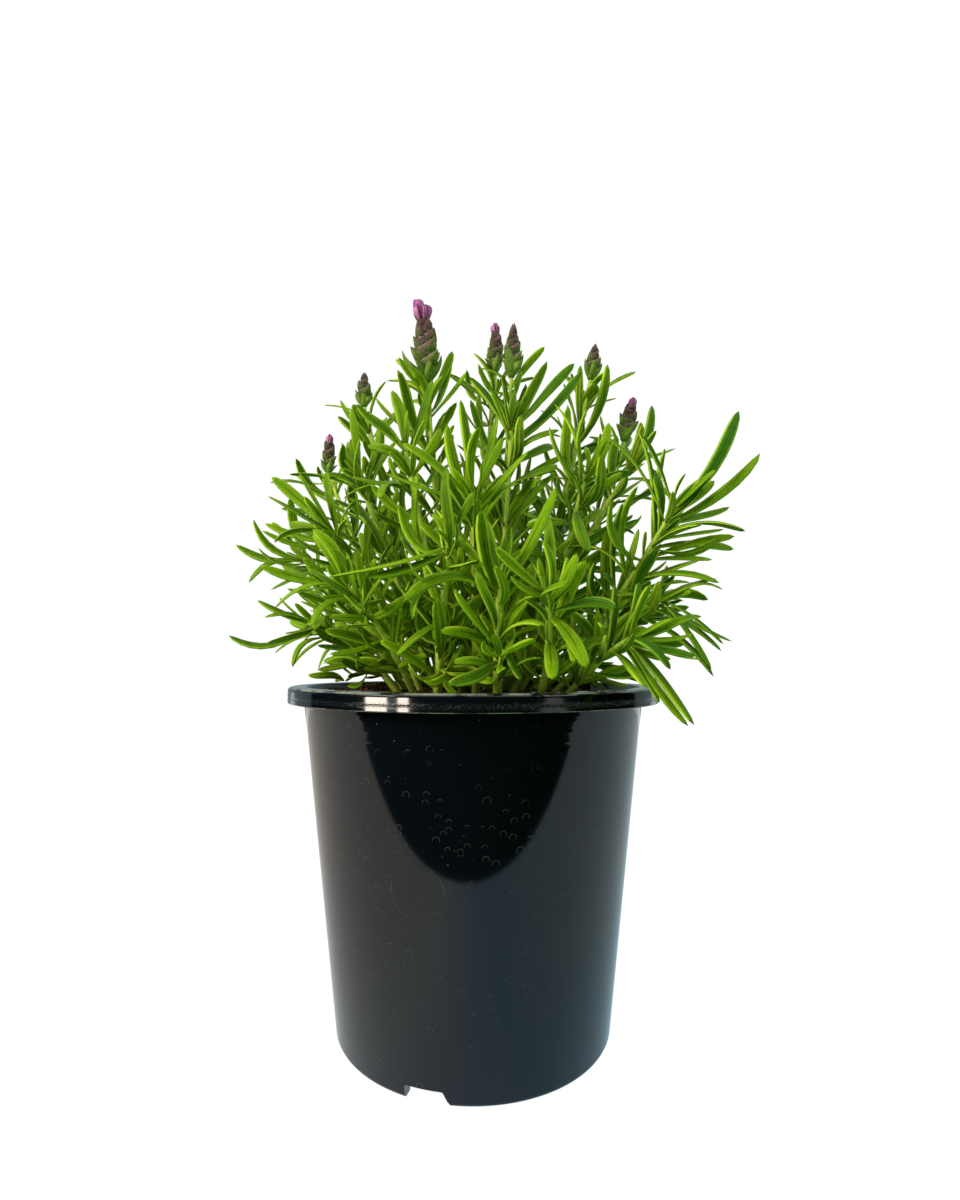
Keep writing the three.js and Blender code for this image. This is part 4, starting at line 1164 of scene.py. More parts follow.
def stem_material():
    """Young green stem, browner at the soil, with fine lengthwise ridges and a pale down."""
    material, nodes, shader = new_material("green_stem")
    share = nodes.attribute("share")
    place = nodes.place()
    patches = nodes.noise(place * (1.0, 1.0, 0.3), 0.9, 3.0)
    colour = nodes.mix(nodes.spread(patches, 0.3, 0.7), tint("#a6c02a"), tint("#ccdc4a"))
    colour = nodes.paint(colour, (nodes.spread(share, 0.3, 0.0) * 0.7, "#5a5a20"))
    ridges = nodes.noise(place * (1.0, 1.0, 0.12), 2.6, 3.0)
    set_sockets(nodes, shader, {
        "Base Color": colour, "Roughness": nodes.maths("MULTIPLY_ADD", patches, 0.2, 0.45),
        "Normal": nodes.bump(ridges, 0.5, 0.2 * MM), **sheen(0.06, 0.4, "#d8e890"),
    })
    return material


def bract_material():
    """Bract: green at its foot, purple-brown towards the tip, with a thin downy margin, dark veins, and
    painted shade that darkens each scale bract towards its foot.

    The leaf-like bracts have a tone below 0, which keeps them green and gives them a pale edge.
    """
    material, nodes, shader = new_material("downy_bract")
    across, face, share = nodes.parts(nodes.attribute("section", "Vector"))
    ripe = nodes.attribute("tone")
    mottle = nodes.noise(nodes.place(), 1.3, 4.0, 0.6)
    off_middle = nodes.maths("ABSOLUTE", across)
    purple = nodes.spread(ripe * 0.7 + share * 0.45 + off_middle * 0.55 + mottle * 0.5, 0.74, 1.4)
    green = nodes.mix(nodes.spread(mottle, 0.3, 0.7), tint("#587a14"), tint("#8aa636"))
    scaly = nodes.spread(ripe, -0.5, 0.0)
    leafy = nodes.spread(ripe, -0.5, -0.9)
    # Painted shade: each scale bract darkens towards its foot, under the bract above it.
    shade = nodes.spread(share, 0.8, 0.3) * scaly
    veins = nodes.noise(nodes.vector(across * 7.0, face, share * 2.0 + ripe * 30.0), 1.5, 2.0)
    edge = nodes.maths("MAXIMUM", nodes.spread(off_middle, 0.84, 0.98), nodes.spread(share, 0.93, 1.0))
    down = edge * nodes.spread(mottle, 0.35, 0.6) * scaly
    dark = nodes.spread(veins, 0.45, 0.65)
    colour = nodes.paint(
        green, (purple, "#6b3c54"), (shade * 0.6, "#1c2204"), (dark * 0.55, "#24200a"),
        (down * 0.75, "#bfa092"), (edge * leafy * 0.7, "#bcd060"),
    )
    set_sockets(nodes, shader, {
        "Base Color": colour, "Roughness": 0.72, "Normal": nodes.bump(veins + mottle, 0.7, 0.25 * MM),
        "Specular IOR Level": 0.2, **sheen(0.08, 0.5, "#f3e3dc"),
    })
    return material


def petal_material():
    """Petal: magenta, violet in its folds and pink at its rim, brown at its foot, with fine veins."""
    material, nodes, shader = new_material("magenta_petal")
    across, face, share = nodes.parts(nodes.attribute("section", "Vector"))
    mottle = nodes.noise(nodes.place(), 0.8, 3.0)
    rim = nodes.spread(nodes.maths("ABSOLUTE", across), 0.6, 1.0)
    foot = nodes.spread(share, 0.5, 0.1)
    colour = nodes.mix(nodes.spread(mottle, 0.35, 0.65), tint("#b52fa6"), tint("#86209a"))
    colour = nodes.paint(colour, (rim * 0.7, "#e394cf"), (foot * 0.9, "#5a2b3a"))
    veins = nodes.noise(nodes.vector(across * 8.0, face, share * 2.0), 1.5, 2.0)
    set_sockets(nodes, shader, {
        "Base Color": colour, "Roughness": 0.45, "Normal": nodes.bump(veins, 0.6, 0.25 * MM),
        **sheen(0.1, 0.4, "#ffd9f6"),
    })
    return material


def wool_material():
    material, nodes, shader = new_material("white_wool")
    colour = nodes.mix(nodes.noise(nodes.place(), 1.2), tint("#d9c3b2"), tint("#f0e6dc"))
    set_sockets(nodes, shader, {"Base Color": colour, "Roughness": 0.8, "Sheen Weight": 0.5})
    return material


def soil_material(name, dark, light, scale):
    """Potting soil: dark peat with browner fibres, matt, rough at every scale."""
    material, nodes, shader = new_material(name)
    place = nodes.place()
    clods = nodes.noise(place, scale, 6.0, 0.65)
    tone = nodes.attribute("tone")
    colour = nodes.mix(nodes.spread(clods + (tone - 0.5) * 0.5, 0.3, 0.75), dark, light)
    bark = nodes.spread(nodes.noise(place, 0.5 * scale, 3.0), 0.58, 0.68)
    colour = nodes.paint(colour, (bark * 0.5, "#6e4526"))
    set_sockets(nodes, shader, {
        "Base Color": colour, "Roughness": 0.92, "Specular IOR Level": 0.25,
        "Normal": nodes.bump(clods, 0.9, 0.6 * MM),
    })
    return material


def water_rings(nodes, place, on_wall):
    """Rings that drops left as they dried, one in a cell, and most of them where the water ran down."""
    distance, drawn, middle = nodes.cells(place, 1 / DROP_PITCH)
    chance, pick, _ = nodes.parts(drawn)
    off_ring = nodes.maths("ABSOLUTE", distance - nodes.maths("MULTIPLY_ADD", pick, 0.2, 0.2))
    _, _, z = nodes.parts(place)
    _, _, above = nodes.parts(place - middle)
    middle_x, middle_y, middle_z = nodes.parts(middle)
    middle_radius = nodes.maths("SQRT", middle_x * middle_x + middle_y * middle_y)
    off_wall = nodes.maths("ABSOLUTE", middle_radius - middle_z * WALL_SLOPE - FOOT_RADIUS)
    on_skin = nodes.spread(off_wall, 0.7, 0.5) * nodes.spread(z, SKIRT_FOOT, SKIRT_FOOT - 1.0)
    to_drips = nodes.maths("LENGTH", place - DRIP_CENTRE)
    patches = nodes.spread(nodes.noise(place, 0.045, 2.0), 0.5, 0.62)
    wetted = patches * 0.5 + nodes.spread(to_drips, DRIP_REACH, 8.0)
    ring = nodes.spread(off_ring, 0.035, 0.0) * nodes.spread(chance + wetted * 0.6, 0.72, 0.95)
    return ring * nodes.spread(above + pick - 0.5, -0.5, 0.1) * on_wall * on_skin


def dust_specks(nodes, place, on_wall):
    distance, drawn, _ = nodes.cells(place, 0.55)
    chance, _, _ = nodes.parts(drawn)
    return nodes.spread(distance, 0.16, 0.06) * nodes.spread(chance, 0.86, 0.9) * on_wall


def water_stain(nodes, place, on_wall):
    """One large dried ring, broken in places."""
    off_ring = nodes.maths("ABSOLUTE", nodes.maths("LENGTH", place - STAIN_CENTRE) - STAIN_RADIUS)
    unbroken = nodes.spread(nodes.noise(place, 0.08, 2.0), 0.4, 0.6)
    return nodes.spread(off_ring, 0.35, 0.05) * unbroken * on_wall


def rim_marks(nodes, place, radius):
    """The pale rubbing on the rim's two edges, which also stands for painted glints along them, and its
    scuffed seam, which shows more on the right.
    """
    x, _, z = nodes.parts(place)
    on_rim = nodes.spread(radius, RIM_RADIUS - 0.8, RIM_RADIUS - 0.4)
    near_top = nodes.spread(z, POT_HEIGHT - 0.7, POT_HEIGHT - 0.3)
    top_edge = near_top * nodes.spread(radius, RIM_RADIUS - 1.5, RIM_RADIUS - 0.9)
    low_edge = nodes.spread(z, SKIRT_FOOT + 0.3, SKIRT_FOOT + 0.1) * on_rim
    chafed = nodes.spread(nodes.noise(place, 0.12, 4.0, 0.6), 0.42, 0.6)
    # Pale worn edges along the rim's top and foot, which are also painted glints where the edges catch the
    # light.
    wear_and_glint = nodes.maths("MAXIMUM", top_edge, low_edge) * chafed
    scratches = nodes.noise(place * (1.0, 1.0, 4.0), 1.6, 5.0, 0.75)
    side_share = nodes.spread(x, -40.0, 40.0, 0.35, 1.0)
    seam = nodes.spread(nodes.maths("ABSOLUTE", z - RIM_SEAM), 1.3, 0.2) * on_rim * side_share
    return wear_and_glint, seam * nodes.spread(scratches, 0.54, 0.62)


def plastic_material():
    """Black polypropylene with a moulded gloss: dried water rings, dust and a scuffed seam on the rim."""
    material, nodes, shader = new_material("black_gloss_plastic")
    place = nodes.place()
    x, y, z = nodes.parts(place)
    radius = nodes.maths("SQRT", x * x + y * y)
    on_wall = nodes.spread(radius - z * WALL_SLOPE, FOOT_RADIUS - 2.5, FOOT_RADIUS - 1.5)
    haze = nodes.noise(place, 0.035, 4.0)
    grain = nodes.noise(place, 1.1, 4.0, 0.6)
    ring = water_rings(nodes, place, on_wall)
    dust = dust_specks(nodes, place, on_wall)
    stain = water_stain(nodes, place, on_wall)
    wear_and_glint, seam = rim_marks(nodes, place, radius)
    # The pale coat on the rim's edges is partly rubbing and partly painted glints.
    colour = nodes.paint(
        nodes.mix(haze, tint("#070b13"), tint("#0c121b")),
        (ring * 0.16, "#8f9ca3"), (dust * 0.1, "#b9b2a4"), (stain * 0.12, "#9a9a96"),
        (seam * 0.35, "#9aa0a0"), (wear_and_glint * EDGE_WEAR_AND_GLINT, "#c9c6bd"),
    )
    roughness = nodes.maths("MULTIPLY_ADD", haze, 0.05, PLASTIC_ROUGHNESS)
    roughness = roughness + ring * 0.25 + seam * 0.3 + dust * 0.3 + stain * 0.15 + wear_and_glint * 0.3
    height = grain * 0.02 + ring * 0.3 + dust * 0.5 + seam * 0.5
    set_sockets(nodes, shader, {
        "Base Color": colour, "Roughness": roughness, "IOR": 1.49,
        "Normal": nodes.bump(height, 0.2, 0.1 * MM),
    })
    return material


def plain_material(name, colour, roughness):
    material, nodes, shader = new_material(name)
    values = {"Base Color": colour, "Roughness": roughness, "Specular IOR Level": 0.2}
    set_sockets(nodes, shader, values)
    return material


def new_tree(name, inputs):
    """An empty geometry tree with its named inputs: the tree, its nodes and the inputs by name."""
    tree = bpy.data.node_groups.new(name, "GeometryNodeTree")
    tree.interface.new_socket("Geometry", in_out="INPUT", socket_type="NodeSocketGeometry")
    for label, kind in inputs.items():
        tree.interface.new_socket(label, in_out="INPUT", socket_type="NodeSocket" + kind)
    tree.interface.new_socket("Geometry", in_out="OUTPUT", socket_type="NodeSocketGeometry")
    nodes = Nodes(tree)
    entry = nodes.add("NodeGroupInput")
    given = {socket.name: Wire(nodes, socket) for socket in entry.outputs if socket.name}
    return tree, nodes, given


def close_tree(nodes, geometry):
    nodes.feed(nodes.add("NodeGroupOutput").inputs[0], geometry)


def new_object(name, data):
    made = bpy.data.objects.new(name, data)
    bpy.context.scene.collection.objects.link(made)
    return made


def shape_of(thing, name):
    """The mesh that an object has with its modifiers applied."""
    made = bpy.data.meshes.new_from_object(thing.evaluated_get(bpy.context.evaluated_depsgraph_get()))
    made.name = name
    return made


def build(name, tree, mesh, values):
    """The mesh that a tree makes from a mesh, as an object at the origin with no modifier."""
    source = new_object(name, mesh)
    modifier = source.modifiers.new("build", "NODES")
    modifier.node_group = tree
    for item in tree.interface.items_tree:
        if item.in_out == "INPUT" and item.name in values:
            modifier[item.identifier] = values[item.name]
    made = shape_of(source, name)
    source.modifiers.remove(modifier)
    source.data = made
    return source


def read(nodes, name, kind="FLOAT"):
    return nodes.wire("GeometryNodeInputNamedAttribute", {"data_type": kind}, {"Name": name})


def store(nodes, geometry, name, value, kind="FLOAT", domain="POINT"):
    settings = {"data_type": kind, "domain": domain}
    sockets = {"Geometry": geometry, "Name": name, "Value": value}
    return nodes.wire("GeometryNodeStoreNamedAttribute", settings, sockets)


def dress(nodes, geometry, material, smooth=True):
    shaded = nodes.wire("GeometryNodeSetShadeSmooth", None, {"Geometry": geometry, "Shade Smooth": smooth})
    return nodes.wire("GeometryNodeSetMaterial", None, {"Geometry": shaded, "Material": material})


BLADE_INPUTS = {
    "Sides": "Int", "Rings": "Int", "Foot Share": "Float", "Widest": "Float", "Bluntness": "Float",
    "Tip Power": "Float", "Fold": "Float", "Roll": "Float", "Rib": "Float", "Curl": "Float",
    "Blade Skin": "Material",
}
TIP_CROWDING = 1.4
CURL_POWER = 4.0
BOW = 4.0
SIDE_SPACING = 1.7
MERGED = 0.002


def grow_blades(nodes, given, points):
    """Blades along curves. Each point holds its blade's foot, elbow, tip, side, width and the rest.

    A closed tube is copied to each point, and its points, known by where they lie across, over and along
    the tube, are then moved to where they lie on the blade.
    """
    settings = {"fill_type": "TRIANGLE_FAN"}
    sockets = {"Vertices": given["Sides"], "Side Segments": given["Rings"], "Radius": 1.0, "Depth": 1.0}
    tube = nodes.wire("GeometryNodeMeshCylinder", settings, sockets)
    x, y, z = nodes.parts(nodes.wire("GeometryNodeInputPosition"))
    rise = 1 - nodes.maths("MAXIMUM", 0.5 - z, 0.0) ** TIP_CROWDING
    spaced = nodes.maths("SIGN", x) * nodes.maths("ABSOLUTE", x) ** SIDE_SPACING
    tube = store(nodes, tube, "section", nodes.vector(spaced, y, rise), "FLOAT_VECTOR")
    copies = nodes.wire("GeometryNodeInstanceOnPoints", None, {"Points": points, "Instance": tube})
    blades = nodes.wire("GeometryNodeRealizeInstances", None, {"Geometry": copies})

    across, face, share = nodes.parts(read(nodes, "section", "FLOAT_VECTOR"))
    foot, elbow, tip, side = (read(nodes, name, "FLOAT_VECTOR") for name in ("foot", "elbow", "tip", "side"))
    width, thickness, twist, sway = (read(nodes, name) for name in ("width", "thickness", "twist", "sway"))
    rest = 1 - share
    centre = foot * (rest * rest) + elbow * (2 * rest * share) + tip * (share * share)
    along = nodes.maths("NORMALIZE", (elbow - foot) * rest + (tip - elbow) * share)
    level = nodes.maths("NORMALIZE", side - along * nodes.maths("DOT_PRODUCT", side, along))
    upward = nodes.maths("CROSS_PRODUCT", along, level)
    turn = twist * share
    cosine = nodes.maths("COSINE", turn)
    sine = nodes.maths("SINE", turn)
    level, upward = level * cosine + upward * sine, upward * cosine - level * sine

    widening = nodes.maths("SINE", nodes.maths("MINIMUM", share / given["Widest"], 1.0) * (math.pi / 2))
    grown = given["Foot Share"] + (1 - given["Foot Share"]) * widening
    beyond = nodes.maths("MAXIMUM", share - given["Widest"], 0.0) / (1 - given["Widest"])
    closing = nodes.maths("MAXIMUM", 1 - beyond ** given["Bluntness"], 0.0) ** given["Tip Power"]
    half = 0.5 * width * grown * closing
    off_middle = nodes.maths("ABSOLUTE", across)
    lift = half * off_middle * (given["Fold"] - given["Roll"] * off_middle)
    body = thickness * nodes.maths("SQRT", closing) * 0.5
    beneath = nodes.maths("MAXIMUM", 0 - face, 0.0)
    rib = beneath * nodes.maths("MAXIMUM", 1 - 2 * off_middle, 0.0) * given["Rib"]
    drift = sway * width * nodes.maths("SINE", share * math.pi)
    curl = sway * width * given["Curl"] * (share ** CURL_POWER - (share - share * share) * BOW)
    place = centre + level * (across * half + drift) + upward * (lift + body * (face - rib) + curl)
    blades = nodes.wire("GeometryNodeSetPosition", None, {"Geometry": blades, "Position": place})
    blades = nodes.wire("GeometryNodeMergeByDistance", None, {"Geometry": blades, "Distance": MERGED * MM})
    return dress(nodes, blades, given["Blade Skin"])


def grow_path(nodes, given, path, start_radius, end_radius):
    """A tube along a curve, slightly squared as such stems are, with a swelling at each pair of leaves."""
    share = nodes.wire("GeometryNodeSplineParameter")
    up_pairs = (share - LOWEST_PAIR) / (1 - LOWEST_PAIR) * given["Pairs"]
    swelling = nodes.maths("MAXIMUM", 0 - nodes.maths("COSINE", up_pairs * (2 * math.pi)), 0.0) ** 8.0
    radius = (start_radius + (end_radius - start_radius) * share) * (1 + given["Swelling"] * swelling)
    path = store(nodes, path, "share", share)
    profile = nodes.wire("GeometryNodeCurvePrimitiveCircle", None, {"Resolution": 8, "Radius": 1.0})
    x, y, _ = nodes.parts(nodes.wire("GeometryNodeInputPosition"))
    squared = 1 - given["Squareness"] * (8 * (x * x) * (y * y))
    position = nodes.vector(x * squared, y * squared, 0.0)
    profile = nodes.wire("GeometryNodeSetPosition", None, {"Geometry": profile, "Position": position})
    sockets = {"Curve": path, "Profile Curve": profile, "Scale": radius, "Fill Caps": True}
    return dress(nodes, nodes.wire("GeometryNodeCurveToMesh", None, sockets), given["Stem Skin"])


def shoot_tree():
    """A leafy stem: a tube along its curve, a straight root in the soil, and the blades."""
    inputs = {
        "Root": "Vector", "Foot": "Vector", "Elbow": "Vector", "Tip": "Vector", "Foot Radius": "Float",
        "Tip Radius": "Float", "Pairs": "Float", "Swelling": "Float", "Squareness": "Float",
        "Stem Skin": "Material", **BLADE_INPUTS,
    }
    tree, nodes, given = new_tree("leafy_stem", inputs)
    curve = {"Resolution": 28, "Start": given["Foot"], "Middle": given["Elbow"], "End": given["Tip"]}
    path = nodes.wire("GeometryNodeCurveQuadraticBezier", None, curve)
    stem = grow_path(nodes, given, path, given["Foot Radius"], given["Tip Radius"])
    line = nodes.wire("GeometryNodeCurvePrimitiveLine", None, {"Start": given["Root"], "End": given["Foot"]})
    root = grow_path(nodes, given, line, given["Foot Radius"], given["Foot Radius"])
    blades = grow_blades(nodes, given, given["Geometry"])
    joined = nodes.add("GeometryNodeJoinGeometry")
    for part in (blades, root, stem):
        nodes.tree.links.new(part.socket, joined.inputs[0])
    close_tree(nodes, Wire(nodes, joined.outputs[0]))
    return tree


def blade_tree():
    """Blades alone, for bracts and petals."""
    tree, nodes, given = new_tree("blades", BLADE_INPUTS)
    close_tree(nodes, grow_blades(nodes, given, given["Geometry"]))
    return tree


SCATTER_INPUTS = {"Density": "Float", "Seed": "Int", "Skin": "Material"}


def scatter(nodes, given, where):
    """Points strewn over the faces of the given mesh, only where a field is true."""
    sockets = {
        "Mesh": given["Geometry"], "Selection": where, "Density": given["Density"], "Seed": given["Seed"],
    }
    return nodes.add("GeometryNodeDistributePointsOnFaces", None, sockets)


def random_vector(nodes, low, high, seed):
    node = nodes.add("FunctionNodeRandomValue", {"data_type": "FLOAT_VECTOR"})
    enabled = {socket.name: socket for socket in node.inputs if socket.enabled}
    nodes.feed(enabled["Min"], low)
    nodes.feed(enabled["Max"], high)
    nodes.feed(enabled["Seed"], seed)
    return Wire(nodes, next(socket for socket in node.outputs if socket.enabled))


def wool_tree():
    """Short hairs that stand on the margins of the bracts."""
    inputs = {"Hair Length": "Float", "Hair Radius": "Float", **SCATTER_INPUTS}
    tree, nodes, given = new_tree("woolly_margins", inputs)
    across, _, share = nodes.parts(read(nodes, "section", "FLOAT_VECTOR"))
    margin = nodes.maths("MAXIMUM", nodes.maths("ABSOLUTE", across), share)
    spots = scatter(nodes, given, nodes.maths("GREATER_THAN", margin, WOOL_MARGIN))
    sockets = {
        "Vertices": 3, "Radius Top": 0.0, "Radius Bottom": given["Hair Radius"],
        "Depth": given["Hair Length"],
    }
    hair = nodes.wire("GeometryNodeMeshCone", None, sockets)
    points, rotation = (Wire(nodes, spots.outputs[name]) for name in ("Points", "Rotation"))
    sockets = {"Points": points, "Instance": hair, "Rotation": rotation}
    hairs = nodes.wire("GeometryNodeInstanceOnPoints", None, sockets)
    lean = random_vector(nodes, tuple(-turn for turn in WOOL_LEAN), WOOL_LEAN, given["Seed"])
    hairs = nodes.wire("GeometryNodeRotateInstances", None, {"Instances": hairs, "Rotation": lean})
    hairs = nodes.wire("GeometryNodeRealizeInstances", None, {"Geometry": hairs})
    close_tree(nodes, dress(nodes, hairs, given["Skin"], False))
    return tree


def crumb_tree():
    """Crumbs and chips that lie on the soil."""
    tree, nodes, given = new_tree("soil_crumbs", {"Size": "Float", "Lowest": "Float", **SCATTER_INPUTS})
    _, _, height = nodes.parts(nodes.wire("GeometryNodeInputPosition"))
    spots = scatter(nodes, given, nodes.maths("GREATER_THAN", height, given["Lowest"]))
    ball = nodes.wire("GeometryNodeMeshIcoSphere", None, {"Radius": 1.0, "Subdivisions": 1})
    turn = random_vector(nodes, (-CRUMB_TURN,) * 3, (CRUMB_TURN,) * 3, given["Seed"])
    size = random_vector(nodes, CRUMB_LEAST, CRUMB_MOST, given["Seed"]) * given["Size"]
    points = Wire(nodes, spots.outputs["Points"])
    sockets = {"Points": points, "Instance": ball, "Rotation": turn, "Scale": size}
    crumbs = nodes.wire("GeometryNodeInstanceOnPoints", None, sockets)
    chance, _, _ = nodes.parts(random_vector(nodes, (0.0, 0.0, 0.0), (1.0, 1.0, 1.0), CRUMB_TONE_SEED))
    crumbs = store(nodes, crumbs, "tone", chance, domain="INSTANCE")
    crumbs = nodes.wire("GeometryNodeRealizeInstances", None, {"Geometry": crumbs})
    close_tree(nodes, dress(nodes, crumbs, given["Skin"], False))
    return tree


def blade_points(name, blades):
    """A mesh of loose points, one for each blade, that hold all that the tree needs to know."""
    mesh = bpy.data.meshes.new(name)
    mesh.from_pydata([tuple(blade.foot * MM) for blade in blades], [], [])
    for label, scale in (("foot", MM), ("elbow", MM), ("tip", MM), ("side", 1)):
        layer = mesh.attributes.new(label, "FLOAT_VECTOR", "POINT")
        values = np.array([getattr(blade, label) for blade in blades]) * scale
        layer.data.foreach_set("vector", values.ravel())
    for label, scale in (("width", MM), ("thickness", MM), ("tone", 1), ("twist", 1), ("sway", 1)):
        layer = mesh.attributes.new(label, "FLOAT", "POINT")
        layer.data.foreach_set("value", [getattr(blade, label) * scale for blade in blades])
    return mesh


LEAF_SHAPE = {
    "Sides": 8, "Rings": 8, "Foot Share": LEAF_FOOT, "Widest": WIDEST, "Bluntness": BLUNTNESS,
    "Tip Power": 0.5, "Fold": 0.75, "Roll": 0.95, "Rib": 0.7, "Curl": 1.0,
}
BRACT_SHAPE = {
    "Sides": 8, "Rings": 6, "Foot Share": 0.55, "Widest": 0.34, "Bluntness": 1.25,
    "Tip Power": 1.0, "Fold": 0.0, "Roll": 0.85, "Rib": -0.4, "Curl": 0.0,
}
PETAL_SHAPE = {
    "Sides": 8, "Rings": 8, "Foot Share": 0.35, "Widest": 0.62, "Bluntness": 2.6,
    "Tip Power": 0.5, "Fold": 0.0, "Roll": 0.8, "Rib": 0.3, "Curl": 0.0,
}


def finished(piece, material, slot, *nodes):
    """Gives a piece its material, if one is given, hangs it on the root body, and hides the CAD nodes that it
    stands for, if any. The slot is not used.
    """
    if material:
        piece.data.materials.clear()
        piece.data.materials.append(material)
    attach(piece, "root")
    if nodes:
        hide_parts(*nodes)


def make_shoot(plant, tree, leaf_skin, stem_skin):
    """The stem and all the leaves of one shoot, as one piece."""
    name = plant.name + "_grown"
    stem = plant.stem
    values = {
        "Root": tuple((stem.foot - stem.along(0) * ROOTED) * MM), "Foot": tuple(stem.foot * MM),
        "Elbow": tuple(stem.elbow * MM), "Tip": tuple(stem.tip * MM),
        "Foot Radius": STEM_FOOT_RADIUS * MM, "Tip Radius": STEM_TIP_RADIUS * MM, "Pairs": float(plant.pairs),
        "Swelling": STEM_SWELLING, "Squareness": STEM_SQUARENESS,
        "Stem Skin": stem_skin, "Blade Skin": leaf_skin, **LEAF_SHAPE,
    }
    piece = build(name, tree, blade_points(name, plant.leaves + plant.young), values)
    finished(piece, None, "leaf", plant.name)


def spike_width(spike, share):
    """How wide a spike is at a share of its height, out of its radius. One without petals is pointed."""
    outline = SPIKE_OUTLINE if spike.petals else CLOSED_OUTLINE
    return float(np.interp(share, *zip(*outline)))


def scale_bract(spike, share, turn, draw):
    """A bract of the spike itself, slimmer and more closed towards the top."""
    swollen = spike.radius * SPIKE_SWELL
    height = spike.length * (BRACT_HEIGHTS[0] + BRACT_HEIGHTS[1] * share)
    long = max(spike.length * BRACT_SHARE, SHORTEST_BRACT) * draw(*BRACT_LENGTHS)
    wide = swollen * spike_width(spike, height / spike.length)
    closing = 1.0 if spike.petals else float(np.interp(share, (CLOSING_FROM, 1.0), (1.0, CLOSED_TOP)))
    top = swollen * spike_width(spike, (height + long) / spike.length) * draw(*BRACT_GAPE) * closing
    foot = spike.at(height, BRACT_ROOT * wide, turn)
    elbow = spike.at(height + BRACT_ELBOW[0] * long, BRACT_ELBOW[1] * wide, turn)
    tip = spike.at(height + long, top, turn)
    side = np.cross(spike.out(turn), unit(tip - foot))
    blade = Leaf(foot, elbow, tip, side, BRACT_BREADTH * wide, BRACT_THICKNESS, share)
    blade.twist = draw(*BRACT_TWIST)
    return blade


def foot_bract(spike, turn, rise, reach, width):
    """A leaf-like bract at the foot of a spike."""
    foot = spike.at(FOOT_BRACT_ROOT, FOOT_BRACT_ROOT * spike.radius, turn)
    elbow = spike.at(FOOT_BRACT_ELBOW[0] * rise, FOOT_BRACT_ELBOW[1] * max(reach, spike.radius), turn)
    tip = spike.at(rise, reach, turn)
    side = np.cross(spike.out(turn), unit(tip - foot))
    return Leaf(foot, elbow, tip, side, width, BLADE_THICKNESS, FOOT_BRACT_TONE)


def spike_bracts(spike, number, draw):
    """Pairs of bracts, each pair crosswise to the one below, browner towards the top."""
    tiers = round(spike.length / BRACT_STEP)
    blades = []
    for tier in range(tiers):
        for half in (0, 180):
            turn = BRACT_TURN + 90 * (tier % 2) + half + draw(*BRACT_SWING)
            blades.append(scale_bract(spike, tier / (tiers - 1), turn, draw))
    return blades + [foot_bract(spike, *sizes) for sizes in FOOT_BRACTS[number]]


def core_rings(spike):
    """The slim body inside the bracts."""
    turns = [360 // CORE_SIDES * side for side in range(CORE_SIDES)]
    for height in CORE_HEIGHTS:
        radius = CORE_WIDTH * spike.radius * spike_width(spike, height)
        yield [spike.at(height * spike.length, radius, turn) for turn in turns]


def skin_mesh(name, rings, start, end):
    """A closed mesh over rings of points that follow each other, with a fan of faces at both ends."""
    mesh = bpy.data.meshes.new(name)
    rings = [np.array(ring) for ring in rings]
    count = len(rings[0])
    points = np.concatenate([*rings, np.array([start, end])]) * MM
    faces = []
    for row in range(len(rings) - 1):
        for side in range(count):
            after = (side + 1) % count
            low, high = row * count, (row + 1) * count
            faces.append((low + side, low + after, high + after, high + side))
    last = (len(rings) - 1) * count
    foot, top = len(rings) * count, len(rings) * count + 1
    for side in range(count):
        after = (side + 1) % count
        faces.append((foot, after, side))
        faces.append((top, last + side, last + after))
    mesh.from_pydata([tuple(point) for point in points], [], faces)
    form = bmesh.new()
    form.from_mesh(mesh)
    bmesh.ops.recalc_face_normals(form, faces=form.faces)
    form.to_mesh(mesh)
    form.free()
    mesh.shade_smooth()
    return mesh


def make_spike(plant, trees, skins):
    spike = plant.spike
    number = plant.name.rsplit("_", 1)[1]
    draw = seeded(int(number) * SPIKE_SEED)
    name = f"spike_{number}_bracts"
    points = blade_points(name, spike_bracts(spike, number, draw))
    bracts = build(name, trees["blades"], points, {"Blade Skin": skins["bract"], **BRACT_SHAPE})
    finished(bracts, None, "bract", f"spike_{number}")
    name = f"spike_{number}_core"
    core = skin_mesh(name, list(core_rings(spike)), spike.foot, spike.at(spike.length, 0, 0))
    finished(new_object(name, core), skins["core"], "bract")
    values = {
        "Density": WOOL_DENSITY, "Hair Length": WOOL_LENGTH * MM, "Hair Radius": WOOL_RADIUS * MM,
        "Seed": int(number), "Skin": skins["wool"],
    }
    finished(build(f"spike_{number}_wool", trees["wool"], bracts.data.copy(), values), None, "bract")
    if spike.petals:
        name = f"petals_{number}_lobes"
        points = blade_points(name, petal_lobes(spike, PETAL_OPENING[number], PETAL_NOD[number], draw))
        lobes = build(name, trees["blades"], points, {"Blade Skin": skins["petal"], **PETAL_SHAPE})
        finished(lobes, None, "petal", f"petals_{number}")


